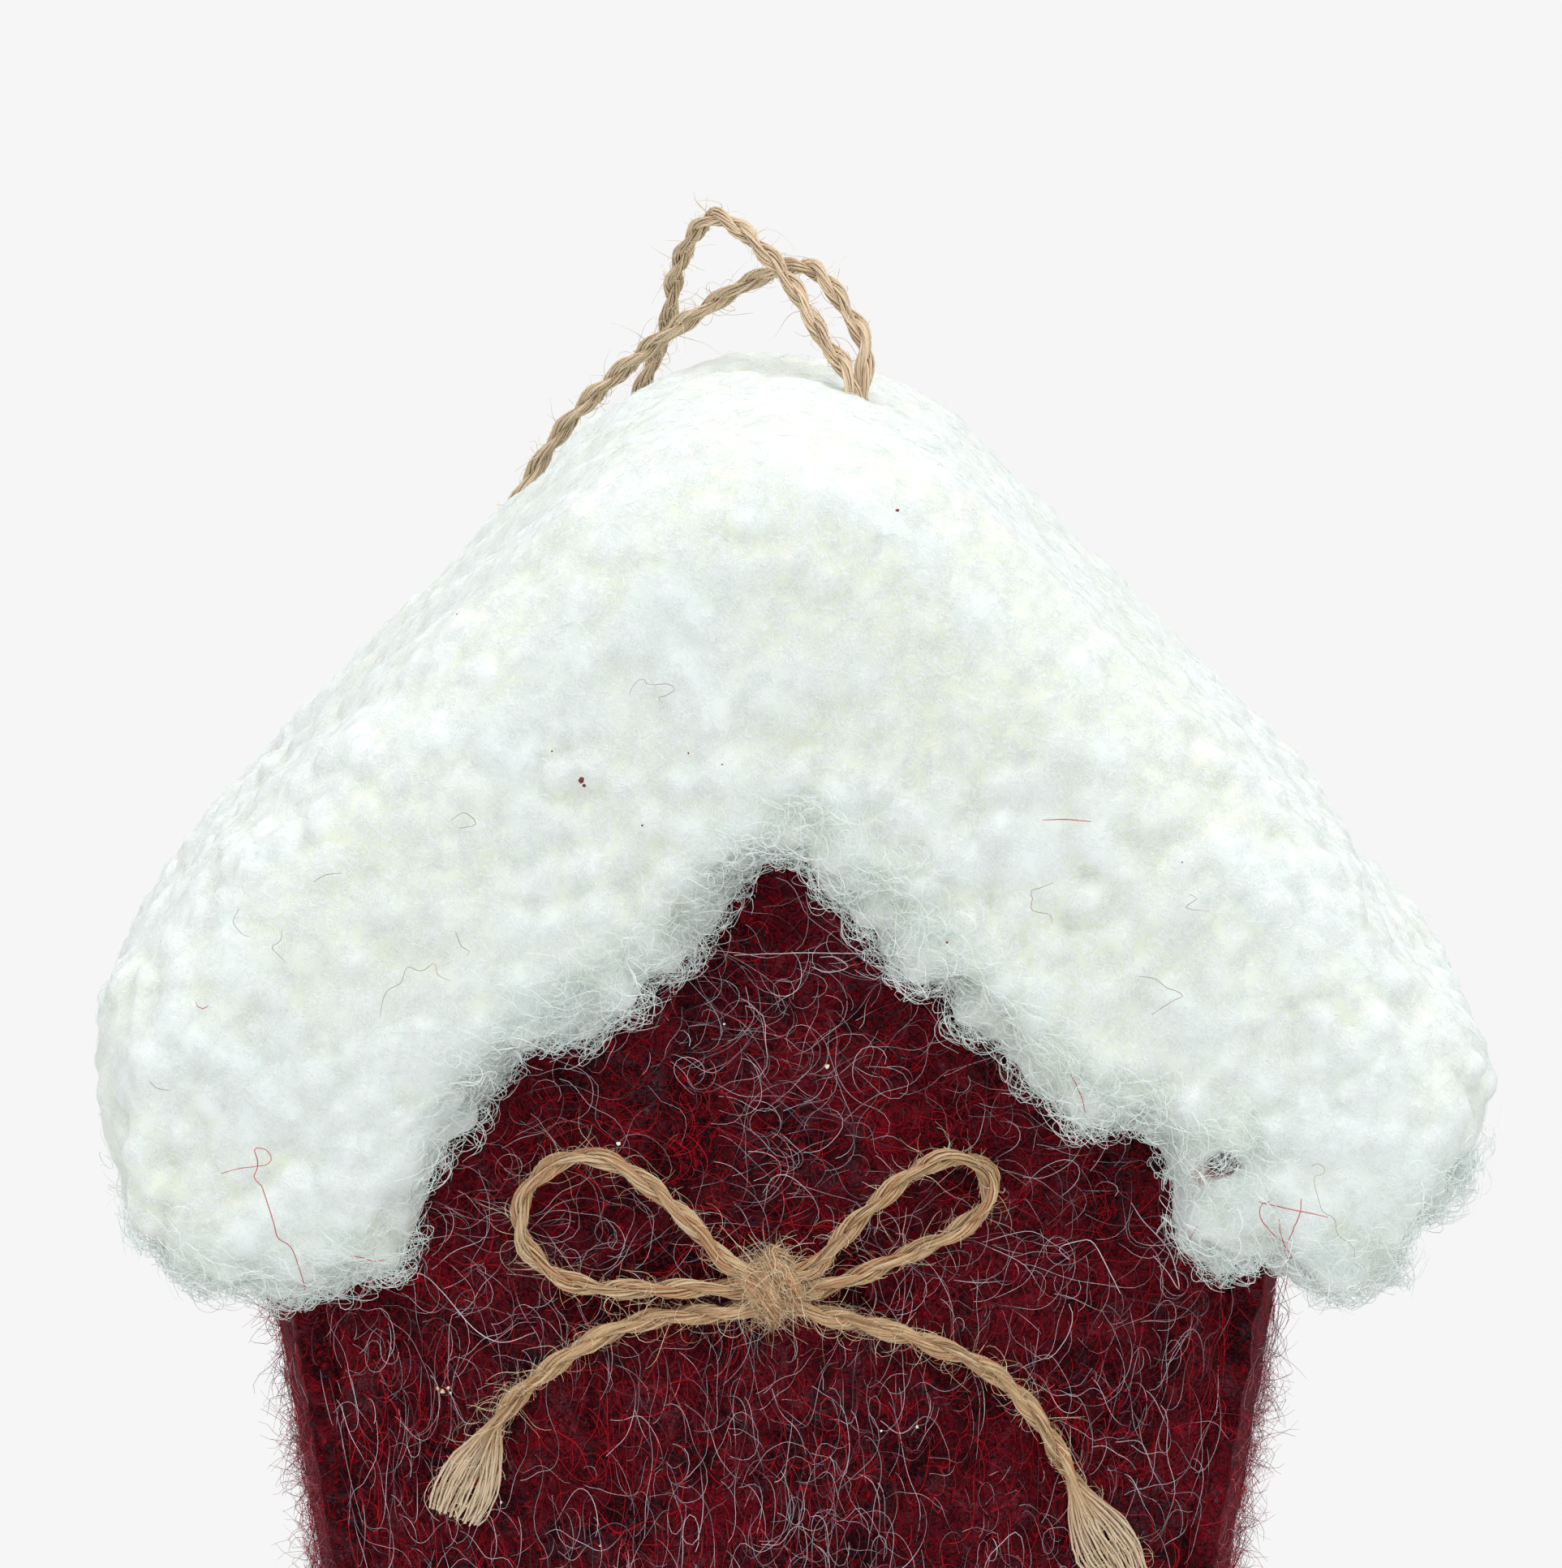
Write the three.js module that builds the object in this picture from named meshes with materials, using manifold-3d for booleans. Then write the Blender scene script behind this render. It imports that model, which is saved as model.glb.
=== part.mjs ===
// A stuffed felt house with a thick fleece roof, a twine bow on its gable and a twine loop to hang it by.
// Millimetres. +X is to the viewer's right, -Y is the front and +Z is up.
// The origin is the middle of the flat base, on the surface that the house stands on.

import * as THREE from 'three';
import { mergeVertices } from 'three/addons/utils/BufferGeometryUtils.js';
import Module from 'manifold-3d';

// Clearances
const seamGap = 0.3; // left between two pieces that touch
const fleeceGap = 0.4; // left round what the fleece wraps
const cutOverrun = 4; // how far a cutting tool runs past what it cuts

// Felt body
const feltThickness = 2.5;
const feltEdgeRound = 0.8; // how far a felt edge rolls in
const baseThickness = 3;
const baseHalfWidth = 26.7; // middle to front seam, at the floor
const wallFlareShare = 0.15; // growth of the half width with height
const bodyHalfDepth = 20; // middle to the plane of the front seam
const sideBulge = 5; // how far the stuffing pushes the middle of a side out
const sideBulgePower = 2.2;
const frontBulge = 3; // the same for the front and the back
const gableHeight = 115; // where the two gable slopes would meet
const gableTipHalfWidth = 2; // the blunt tip of the front and back panels
const pitch = THREE.MathUtils.degToRad(45);

// Roof boards
const boardThickness = 5;
const boardSetback = 1; // board edge behind the front seam plane

// Fleece roof
const fleeceThickness = 11; // over the boards
const roofHalfWidth = 56; // middle to the outside of the eaves
const eaveRadius = 18;
const eaveWrap = 10; // fleece between the end of a board and the outside of the eave
const crestRadius = 22.5;
const flapThickness = 8; // fleece in front of the seam plane
const flapDropLeft = 13.1; // how far the front flap hangs below the gable edge, square to it
const flapDropRight = 10.4;
const foldDrop = 13.6; // the same for the folded end of the right flap
const foldStartShare = 0.74; // where that fold begins, along the flap
const foldEndShare = 0.86;
const notchRadius = 2; // where the two flaps meet under the ridge
const edgeRound = 9; // depth of the rolled front and back edges
const edgeInsetShare = 0.5; // how far they roll in, as a share of the way to the middle of the fleece
const lump = { height: 0.6, length: 17, width: 15 }; // soft swells of the pile, along and across the roof

// Twine
const twineDiameter = 1.5;
const twineSides = 8;

// Hanging loop: where it leaves the roof, and its stop knot under the fleece
const loopExitX = 6.4;
const loopLegSpacing = 1.95;
const anchorKnotRadius = 2;

// Bow
const bowCentre = { x: -0.1, z: 62.6 };
const knotRadii = { x: 3, y: 1.5, z: 2.7 };
const knotPower = 3; // 2 is an ellipsoid, more is squarer
const glueRadius = 2;
const glueThickness = 0.5;
const fray = { length: 5.6, startHalfWidth: 0.9, endHalfWidth: 2.7, halfThickness: 0.6 };

// Worked out from the sizes above
const twineRadius = twineDiameter / 2;
const slope = Math.tan(pitch);
const squareToVertical = 1 / Math.cos(pitch); // a thickness square to the slope, measured upright
const squareToLevel = 1 / Math.sin(pitch);
const wallBottom = baseThickness + seamGap;
const boardUnderside = gableHeight + seamGap * squareToVertical; // apex heights of the sloping planes
const boardTop = boardUnderside + boardThickness * squareToVertical;
const roofApex = boardTop + (seamGap + fleeceThickness) * squareToVertical;
const roofHalfDepth = bodyHalfDepth + flapThickness;
const boardHalfDepth = bodyHalfDepth - boardSetback;
const boardReach = roofHalfWidth - eaveWrap;
const eaveCentre = new THREE.Vector2(
  roofHalfWidth - eaveRadius,
  roofApex - (roofHalfWidth - eaveRadius) * slope - eaveRadius * squareToVertical,
);
const crestCentreZ = roofApex - crestRadius * squareToVertical;

const lerp = THREE.MathUtils.lerp;

// Half width of the wall at the front seam, and of the gable below its sloping edge.
const wallHalfWidth = (z) => baseHalfWidth + wallFlareShare * z;
const gableHalfWidth = (z, drop = 0) => (gableHeight - z) / slope - drop * squareToLevel;
const panelHalfWidth = (z) => Math.min(wallHalfWidth(z), gableHalfWidth(z));

// Height at which a wall that stands out by bulge meets the gable slope.
function wallTop(bulge) {
  return (gableHeight / slope - baseHalfWidth - bulge) / (wallFlareShare + 1 / slope);
}

// How far the stuffing pushes out a side wall, from seam to seam.
function sideDome(y) {
  return sideBulge * (1 - Math.min(1, Math.abs(y) / bodyHalfDepth) ** sideBulgePower);
}

// How far the stuffing pushes out the front or back panel.
function frontDome(x, z) {
  const across = Math.min(1, Math.abs(x) / panelHalfWidth(z));
  const up = THREE.MathUtils.clamp(z / gableHeight, 0, 1);
  return frontBulge * (1 - across ** 2) * Math.sin(Math.PI * up);
}

// Evenly spaced values from first to last.
function steps(first, last, count) {
  return Array.from({ length: count + 1 }, (_, i) => lerp(first, last, i / count));
}

// Turn a closed mesh of points and triangles so that its faces point out.
function closedGeometry(points, triangles) {
  let volume = 0;
  for (const [a, b, c] of triangles) {
    volume += points[a].dot(new THREE.Vector3().crossVectors(points[b], points[c]));
  }
  const facing = volume < 0 ? triangles.map(([a, b, c]) => [a, c, b]) : triangles;
  const geometry = new THREE.BufferGeometry().setFromPoints(points);
  geometry.setIndex(facing.flat());
  geometry.computeVertexNormals();
  return geometry;
}

// Join rings of equal length into a solid. Each end is closed by the triangles of its own flat outline.
function loft(rings) {
  const size = rings[0].length;
  const points = rings.flat();
  const triangles = [];
  for (let r = 0; r + 1 < rings.length; r += 1) {
    for (let k = 0; k < size; k += 1) {
      const next = (k + 1) % size;
      const [a, b, c, d] = [r * size + k, r * size + next, (r + 1) * size + next, (r + 1) * size + k];
      triangles.push([a, b, c], [a, c, d]);
    }
  }
  for (const [ring, flip] of [[0, true], [rings.length - 1, false]]) {
    for (const [a, b, c] of capTriangles(rings[ring])) {
      const [p, q, s] = [ring * size + a, ring * size + b, ring * size + c];
      triangles.push(flip ? [p, s, q] : [p, q, s]);
    }
  }
  return closedGeometry(points, triangles);
}

// Triangles that fill a flat ring, turning the same way as the ring does.
function capTriangles(ring) {
  const normal = new THREE.Vector3();
  ring.forEach((point, k) => normal.add(new THREE.Vector3().crossVectors(point, ring[(k + 1) % ring.length])));
  normal.normalize();
  const across = new THREE.Vector3().subVectors(ring[Math.floor(ring.length / 3)], ring[0]);
  across.addScaledVector(normal, -across.dot(normal)).normalize();
  const up = new THREE.Vector3().crossVectors(normal, across);
  const flat = ring.map((point) => new THREE.Vector2(point.dot(across), point.dot(up)));
  return THREE.ShapeUtils.triangulateShape(flat, []);
}

// A felt sheet. surface(column, row, depth, inset) gives a point below its outer face; the faces are drawn
// in at the edges and meet at the middle of the thickness, so that every edge is rolled.
function feltSheet(columns, rows, surface) {
  const points = [];
  const triangles = [];
  const wide = columns + 1;
  const faces = [0, feltThickness].map((depth) => {
    const first = points.length;
    for (let row = 0; row <= rows; row += 1) {
      for (let column = 0; column <= columns; column += 1) {
        points.push(surface(column, row, depth, feltEdgeRound));
      }
    }
    return first;
  });
  for (let row = 0; row < rows; row += 1) {
    for (let column = 0; column < columns; column += 1) {
      const a = row * wide + column;
      const [b, c, d] = [a + 1, a + wide + 1, a + wide];
      triangles.push([a, b, c], [a, c, d]);
      const back = faces[1];
      triangles.push([back + a, back + c, back + b], [back + a, back + d, back + c]);
    }
  }
  const rim = [];
  for (let column = 0; column < columns; column += 1) rim.push([column, 0]);
  for (let row = 0; row < rows; row += 1) rim.push([columns, row]);
  for (let column = columns; column > 0; column -= 1) rim.push([column, rows]);
  for (let row = rows; row > 0; row -= 1) rim.push([0, row]);
  const middle = points.length;
  rim.forEach(([column, row]) => points.push(surface(column, row, feltThickness / 2, 0)));
  rim.forEach(([column, row], k) => {
    const next = (k + 1) % rim.length;
    const here = row * wide + column;
    const there = rim[next][1] * wide + rim[next][0];
    const [m, n] = [middle + k, middle + next];
    triangles.push([here, m, n], [here, n, there]);
    triangles.push([m, faces[1] + here, faces[1] + there], [m, faces[1] + there, n]);
  });
  return closedGeometry(points, triangles);
}

// Front (facing -1) and back (facing 1) panels: a house outline, pushed out by the stuffing.
function gablePanel(facing) {
  const columns = 10;
  const corner = wallTop(0);
  const tip = gableHeight - gableTipHalfWidth * slope;
  const heights = [...steps(wallBottom, corner, 6), ...steps(corner, tip, 5).slice(1)];
  return feltSheet(columns, heights.length - 1, (column, row, depth, inset) => {
    const z = THREE.MathUtils.clamp(heights[row], wallBottom + inset, tip - inset);
    const x = lerp(-1, 1, column / columns) * (panelHalfWidth(z) - inset);
    return new THREE.Vector3(x, facing * (bodyHalfDepth + frontDome(x, z) - depth), z);
  });
}

// A side wall between the front and back panels, from the base up to the gable slope.
function sidePanel(side) {
  const columns = 8;
  const rows = 7;
  const edge = bodyHalfDepth - feltThickness - seamGap;
  return feltSheet(columns, rows, (column, row, depth, inset) => {
    const y = lerp(-1, 1, column / columns) * (edge - inset);
    const z = lerp(wallBottom + inset, wallTop(sideDome(y)) - inset, row / rows);
    return new THREE.Vector3(side * (wallHalfWidth(z) + sideDome(y) - depth), y, z);
  });
}

// A sloping felt top panel under the roof boards, mitred at the ridge and butted against the side wall.
function topPanel(side) {
  const columns = 6;
  const rows = 3;
  const edge = bodyHalfDepth - feltThickness - seamGap;
  return feltSheet(columns, rows, (column, row, depth, inset) => {
    const y = lerp(-1, 1, column / columns) * (edge - inset);
    const wallHeight = wallTop(sideDome(y)) - feltThickness * squareToVertical;
    const end = wallHalfWidth(wallHeight) + sideDome(y) - feltThickness - seamGap;
    const x = lerp(seamGap / 2 + inset, end - inset, row / rows);
    return new THREE.Vector3(side * x, y, gableHeight - (x + seamGap) * slope - depth * squareToVertical);
  });
}

// Level outline of the stuffed body at a height, moved out by grow.
function bodyRing(z, grow) {
  const across = 8;
  const along = 6;
  const halfWidth = (y) => Math.min(wallHalfWidth(z) + sideDome(y) + grow, gableHalfWidth(z, -grow));
  const front = steps(-1, 1, across).slice(0, -1);
  const side = steps(-1, 1, along).slice(0, -1);
  const faceY = (x) => bodyHalfDepth + frontDome(x, z) + grow;
  const seam = bodyHalfDepth;
  const ring = [];
  for (const u of front) ring.push([u * halfWidth(seam), -faceY(u * halfWidth(seam))]);
  for (const v of side) ring.push([halfWidth(v * seam), v === -1 ? -faceY(halfWidth(seam)) : v * seam]);
  for (const u of front) ring.push([-u * halfWidth(seam), faceY(u * halfWidth(seam))]);
  for (const v of side) ring.push([-halfWidth(v * seam), v === -1 ? faceY(halfWidth(seam)) : -v * seam]);
  return ring.map(([x, y]) => new THREE.Vector3(x, y, z));
}

// The body as one block between two heights, with every face moved out by grow.
function bodyBlock(grow, bottom, tipHalfWidth) {
  const shoulder = wallTop(sideBulge + Math.abs(grow));
  const corner = wallTop(grow);
  const tip = gableHeight + grow * squareToVertical - tipHalfWidth * slope;
  const heights = [...steps(bottom, shoulder, 4), ...steps(shoulder, corner, 3).slice(1), ...steps(corner, tip, 3).slice(1)];
  return loft(heights.map((z) => bodyRing(z, grow)));
}

// The flat base: the body's outline at the floor, with its edges rolled.
function basePanel() {
  const rolled = feltEdgeRound;
  const levels = [[0, -rolled], [rolled, 0], [baseThickness - rolled, 0], [baseThickness, -rolled]];
  return loft(levels.map(([z, grow]) => bodyRing(0, grow).map((point) => point.setZ(z))));
}

// An outline in X and Z, given front to back along Y.
function prism(outline, halfDepth) {
  const shape = new THREE.Shape(outline.map(([x, z]) => new THREE.Vector2(x, z)));
  const geometry = new THREE.ExtrudeGeometry(shape, { depth: 2 * halfDepth, bevelEnabled: false });
  return geometry.rotateX(Math.PI / 2).translate(0, halfDepth, 0);
}

// A roof board: mitred at the ridge, cut square at the eave. grow makes the room it takes in the fleece.
function roofBoard(side, grow = 0) {
  const top = boardTop + grow * squareToVertical;
  const underside = boardUnderside - grow * squareToVertical;
  const ridge = seamGap / 2 - grow;
  const reach = boardReach + grow;
  const thickness = (top - underside) / squareToVertical;
  const outline = [
    [ridge, underside - ridge * slope],
    [reach - thickness * Math.sin(pitch), underside - (reach - thickness * Math.sin(pitch)) * slope],
    [reach, top - reach * slope],
    [ridge, top - ridge * slope],
  ];
  return prism(outline.map(([x, z]) => [side * x, z]), boardHalfDepth + grow);
}

// The line along the middle of the fleece: from the ridge down to the middle of the eave.
const spineRidge = new THREE.Vector2(0, eaveCentre.y + eaveCentre.x * slope);
const spineLength = spineRidge.distanceTo(eaveCentre);

// A point of that line at a distance from the ridge, on the side that the sign of the distance gives.
function spineAt(distance) {
  const share = Math.min(1, Math.abs(distance) / spineLength);
  const point = spineRidge.clone().lerp(eaveCentre, share);
  return point.setX(Math.sign(distance) * point.x);
}

// The point of that line which is nearest to a point of the roof's outline.
function nearestSpine(point, side) {
  const down = eaveCentre.clone().sub(spineRidge).normalize();
  const local = new THREE.Vector2(side * point.x, point.y).sub(spineRidge);
  return spineAt(side * THREE.MathUtils.clamp(local.dot(down), 0, spineLength));
}

// How far the flap hangs below the gable edge, at a share of the way from the ridge to the eave.
function flapDrop(side, share) {
  if (side < 0) return flapDropLeft;
  return lerp(flapDropRight, foldDrop, THREE.MathUtils.smoothstep(share, foldStartShare, foldEndShare));
}

// Lower edge of a flap, from under the ridge to the round of the eave.
function flapEdge(side) {
  const points = [];
  const lineApex = (share) => gableHeight - flapDrop(side, share) * squareToVertical;
  const depthAtEave = (eaveCentre.y + eaveCentre.x * slope - lineApex(1)) / squareToVertical;
  const run = Math.sqrt(eaveRadius ** 2 - depthAtEave ** 2);
  const lastX = eaveCentre.x - depthAtEave * Math.sin(pitch) + run * Math.cos(pitch);
  for (const share of steps(0, 1, 14).slice(1)) {
    const x = lastX * share;
    const point = new THREE.Vector2(side * x, lineApex(share) - x * slope);
    points.push({ point, spine: nearestSpine(point, side) });
  }
  return points;
}

// Round of an eave, from the end of the flap up to the outer slope.
function eaveRound(side, start) {
  const from = Math.atan2(start.y - eaveCentre.y, side * start.x - eaveCentre.x);
  const to = Math.PI / 2 - pitch;
  return steps(from, to, 11).slice(1).map((angle) => {
    const x = eaveCentre.x + eaveRadius * Math.cos(angle);
    const point = new THREE.Vector2(side * x, eaveCentre.y + eaveRadius * Math.sin(angle));
    return { point, spine: spineAt(side * spineLength) };
  });
}

// Outer slope, from the eave up to the rounded crest.
function outerSlope(side) {
  const low = eaveCentre.x + eaveRadius * Math.sin(pitch);
  const high = crestRadius * Math.sin(pitch);
  return steps(low, high, 8).slice(1).map((x) => {
    const point = new THREE.Vector2(side * x, roofApex - x * slope);
    return { point, spine: nearestSpine(point, side) };
  });
}

// Rounded crest from the right slope to the left one, without its two ends.
function crest() {
  return steps(Math.PI / 2 - pitch, Math.PI / 2 + pitch, 8).slice(1, -1).map((angle) => {
    const x = crestRadius * Math.cos(angle);
    const point = new THREE.Vector2(x, crestCentreZ + crestRadius * Math.sin(angle));
    return { point, spine: nearestSpine(point, Math.sign(x) || 1) };
  });
}

// The small round where the two flaps meet, from left to right.
function notchRound() {
  const left = gableHeight - flapDropLeft * squareToVertical;
  const right = gableHeight - flapDropRight * squareToVertical;
  const meetX = (right - left) / (2 * slope);
  const centre = new THREE.Vector2(meetX, left + meetX * slope - notchRadius * squareToVertical);
  const reach = (spineRidge.y - centre.y) * Math.cos(pitch);
  return steps(-1, 1, 6).map((turn) => {
    const angle = Math.PI / 2 - turn * pitch;
    const point = new THREE.Vector2(Math.cos(angle), Math.sin(angle)).multiplyScalar(notchRadius).add(centre);
    return { point, spine: spineAt(turn * reach) };
  });
}

// The whole outline of the roof seen from the front, as points with their nearest place on the spine.
function roofOutline() {
  const notch = notchRound();
  const first = notch[0].point.x;
  const last = notch[notch.length - 1].point.x;
  const right = flapEdge(1).filter(({ point }) => point.x > last + notchRadius);
  const left = flapEdge(-1).filter(({ point }) => point.x < first - notchRadius);
  const rightEnd = right[right.length - 1].point;
  const leftEnd = left[left.length - 1].point;
  return [
    ...notch,
    ...right,
    ...eaveRound(1, rightEnd),
    ...outerSlope(1),
    ...crest(),
    ...[...eaveRound(-1, leftEnd), ...outerSlope(-1)].reverse(),
    ...left.reverse(),
  ];
}

// The fleece as a rolled, softly lumpy slab, before the room for the body and the boards is cut out of it.
function fleeceBlock() {
  const outline = roofOutline();
  const flat = roofHalfDepth - edgeRound;
  const rolled = steps(0, Math.PI / 2, 4).map((turn) => [
    flat + edgeRound * Math.sin(turn),
    edgeInsetShare * (1 - Math.cos(turn)),
  ]);
  const level = steps(-flat, flat, 6).slice(1, -1).map((y) => [y, 0]);
  const stations = [...rolled.map(([y, share]) => [-y, share]).reverse(), ...level, ...rolled];
  return loft(stations.map(([y, share]) => outline.map(({ point, spine }) => {
    const reach = point.distanceTo(spine);
    const turned = (2 * Math.PI * (point.x + point.y)) / lump.length;
    const swell = lump.height * Math.sin(turned) * Math.cos((2 * Math.PI * y) / lump.width);
    const moved = point.clone().lerp(spine, share + (1 - share) * (swell / reach));
    return new THREE.Vector3(moved.x, y, moved.y);
  })));
}

// A tube of twine along a smooth curve through the given points.
function twine(points, stepCount, radius = twineRadius) {
  const curve = new THREE.CatmullRomCurve3(points, false, 'centripetal');
  const section = new THREE.Shape(steps(0, 2 * Math.PI, twineSides).slice(0, -1).map(
    (angle) => new THREE.Vector2(radius * Math.cos(angle), radius * Math.sin(angle)),
  ));
  return new THREE.ExtrudeGeometry(section, { steps: stepCount, extrudePath: curve, bevelEnabled: false });
}

// The stop knot lies on the right board, straight below the place where the loop leaves the fleece.
const anchorKnotZ = boardTop - loopExitX * slope + (anchorKnotRadius + fleeceGap) * squareToVertical;
const loopFootZ = anchorKnotZ + anchorKnotRadius + seamGap;
const legRightX = loopExitX + loopLegSpacing / 2;
const legLeftX = loopExitX - loopLegSpacing / 2;

// A barrel-shaped knot, standing on the Z axis through its own middle.
function barrel(radius, sides) {
  const profile = steps(-Math.PI / 2, Math.PI / 2, 6).map(
    (angle) => new THREE.Vector2(radius * Math.cos(angle), radius * Math.sin(angle)),
  );
  profile[0].x = 0;
  profile[profile.length - 1].x = 0;
  return new THREE.LatheGeometry(profile, sides).rotateX(Math.PI / 2);
}

// The loop's route: out of the ridge, over to the back left, down behind the roof and back again.
const hangingLoopRoute = [
  [legRightX, 0, loopFootZ],
  [legRightX, 0, 126],
  [legRightX, 0, 129.4],
  [6.9, 1.4, 131.7],
  [5.7, 3.9, 134.4],
  [2.9, 8.2, 137.3],
  [-0.6, 12.8, 136.3],
  [-9, 19.5, 130.4],
  [-17.3, 26.8, 122.1],
  [-22.4, 29.9, 113.4],
  [-24.4, 29.7, 106.6],
  [-23.6, 29.4, 100.8],
  [-19.8, 29.4, 97.4],
  [-15.4, 29.4, 99.4],
  [-13, 29.5, 105.5],
  [-12, 29.8, 114],
  [-12, 30.6, 121.4],
  [-10.6, 29.5, 126],
  [-8.9, 26, 130.6],
  [-7.9, 20.6, 136.2],
  [-4.8, 14.4, 140.7],
  [0.2, 8, 137.5],
  [3.9, 2.7, 132.4],
  [legLeftX, 0.1, 129.6],
  [legLeftX, 0, 126],
  [legLeftX, 0, loopFootZ],
].map(([x, y, z]) => new THREE.Vector3(x, y, z));

// A place on the front panel's outer face, lifted off it to the front.
function onFront(x, z, lift) {
  return new THREE.Vector3(x, -(bodyHalfDepth + frontDome(x, z) + seamGap + lift), z);
}

// A bow route: each point is its place right of and above the knot's middle, and its lift off the felt.
function bowRoute(places) {
  return places.map(([x, z, lift]) => onFront(bowCentre.x + x, bowCentre.z + z, twineRadius + lift));
}

const bowLoopLeftRoute = bowRoute([
  [-3.4, 1.75, 1.1],
  [-5.4, 3.9, 1],
  [-8.2, 6.7, 0.9],
  [-11.3, 9.1, 0.8],
  [-14.4, 10.1, 0.7],
  [-17.4, 9, 0.6],
  [-19.4, 6.4, 0.5],
  [-19.3, 3.4, 0.4],
  [-17.5, 1, 0.3],
  [-14.7, -0.3, 0.2],
  [-11, -0.5, 0.3],
  [-7, -0.3, 0.6],
  [-3.4, -0.15, 1],
]);

const bowLoopRightRoute = bowRoute([
  [3.4, 1.7, 1.1],
  [5, 3.6, 1],
  [7.6, 6.2, 0.9],
  [10.5, 8.7, 0.8],
  [13.6, 10, 0.8],
  [16.3, 9, 0.7],
  [16.4, 6.3, 0.5],
  [14, 4, 0.4],
  [10.5, 2.4, 0.4],
  [6.9, 0.9, 0.7],
  [3.4, -0.2, 1],
]);

const bowTailLeftRoute = bowRoute([
  [-3.3, -2.1, 1],
  [-6.4, -2.4, 0.5],
  [-9.6, -2.9, 0.2],
  [-13, -4.2, 0],
  [-16.2, -6.2, 0],
  [-19.2, -8.7, 0],
  [-21.4, -11.4, 0],
  [-22.6, -14, 0],
]);

const bowTailRightRoute = bowRoute([
  [3.2, -2.1, 1],
  [6, -2.9, 0.5],
  [9.2, -3.9, 0.2],
  [12.6, -5.1, 0],
  [15.8, -6.6, 0],
  [18.6, -8.8, 0],
  [21, -12, 0],
  [23, -15.8, 0],
  [24.6, -19.2, 0],
]);

// Middle of the knot, far enough out for the glue behind it.
const knotCentre = onFront(bowCentre.x, bowCentre.z, glueThickness + seamGap + knotRadii.y);

// The bow's knot: a squarish rounded block of wrapped twine.
function bowKnot() {
  const around = 16;
  const power = 2 / knotPower;
  const soft = (value) => Math.sign(value) * Math.abs(value) ** power;
  const bands = steps(-Math.PI / 2, Math.PI / 2, 8).slice(1, -1);
  const rings = bands.map((rise) => steps(0, 2 * Math.PI, around).slice(0, -1).map((turn) => new THREE.Vector3(
    knotCentre.x + knotRadii.x * soft(Math.cos(rise)) * soft(Math.cos(turn)),
    knotCentre.y + knotRadii.y * soft(Math.cos(rise)) * soft(Math.sin(turn)),
    knotCentre.z + knotRadii.z * soft(Math.sin(rise)),
  )));
  return loft(rings);
}

// The dab of glue between the knot and the felt, a disc that follows the front panel.
function bowGlue() {
  const rings = [0, glueThickness].map((lift) => steps(0, 2 * Math.PI, 12).slice(0, -1).map((turn) => {
    const x = bowCentre.x + glueRadius * Math.cos(turn);
    const z = bowCentre.z + glueRadius * Math.sin(turn);
    return onFront(x, z, lift);
  }));
  const highest = Math.max(...rings[0].map((point) => point.y));
  const lowest = Math.min(...rings[0].map((point) => point.y));
  rings[0].forEach((point) => point.setY(lowest));
  rings[1].forEach((point) => point.setY(highest - glueThickness));
  return loft(rings);
}

// The frayed end of a tail: it carries on along the tail's last stretch and fans out flat on the felt.
function frayedEnd(route) {
  const end = route[route.length - 1];
  const before = route[route.length - 2];
  const along = new THREE.Vector2(end.x - before.x, end.z - before.z).normalize();
  const across = new THREE.Vector2(-along.y, along.x);
  const rings = steps(0, 1, 4).map((share) => {
    const reach = seamGap + fray.length * share;
    const halfWidth = lerp(fray.startHalfWidth, fray.endHalfWidth, share);
    const halfThickness = lerp(twineRadius, fray.halfThickness, share);
    return steps(0, 2 * Math.PI, 12).slice(0, -1).map((turn) => {
      const sideways = halfWidth * Math.cos(turn);
      const x = end.x + along.x * reach + across.x * sideways;
      const z = end.z + along.y * reach + across.y * sideways;
      return onFront(x, z, halfThickness * (1 + Math.sin(turn)));
    });
  });
  return loft(rings);
}

const wasm = await Module();
wasm.setup();

// A closed three.js geometry as a solid that can be cut, and back again.
function toSolid(geometry) {
  const bare = new THREE.BufferGeometry().setAttribute('position', geometry.getAttribute('position').clone());
  if (geometry.index) bare.setIndex(geometry.index.clone());
  const merged = mergeVertices(bare);
  return new wasm.Manifold(new wasm.Mesh({
    numProp: 3,
    vertProperties: new Float32Array(merged.getAttribute('position').array),
    triVerts: new Uint32Array(merged.index.array),
  }));
}

function fromSolid(solid) {
  const mesh = solid.getMesh();
  const geometry = new THREE.BufferGeometry();
  geometry.setAttribute('position', new THREE.BufferAttribute(new Float32Array(mesh.vertProperties), mesh.numProp));
  geometry.setIndex(new THREE.BufferAttribute(new Uint32Array(mesh.triVerts), 1));
  geometry.computeVertexNormals();
  return geometry;
}

// The fleece: the rolled slab, less the body, the two boards, the stop knot and the loop's two legs.
function roofFleece() {
  const knotRoom = barrel(anchorKnotRadius + fleeceGap, 12).translate(loopExitX, 0, anchorKnotZ);
  const legRoom = [legLeftX, legRightX].map((x) => {
    const top = roofApex + cutOverrun;
    const points = [anchorKnotZ, top].map((z) => new THREE.Vector3(x, 0, z));
    return twine(points, 1, twineRadius + fleeceGap);
  });
  const tools = [
    bodyBlock(fleeceGap, -cutOverrun, seamGap),
    roofBoard(-1, fleeceGap),
    roofBoard(1, fleeceGap),
    knotRoom,
    ...legRoom,
  ];
  return fromSolid(tools.reduce((fleece, tool) => fleece.subtract(toSolid(tool)), toSolid(fleeceBlock())));
}

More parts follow.
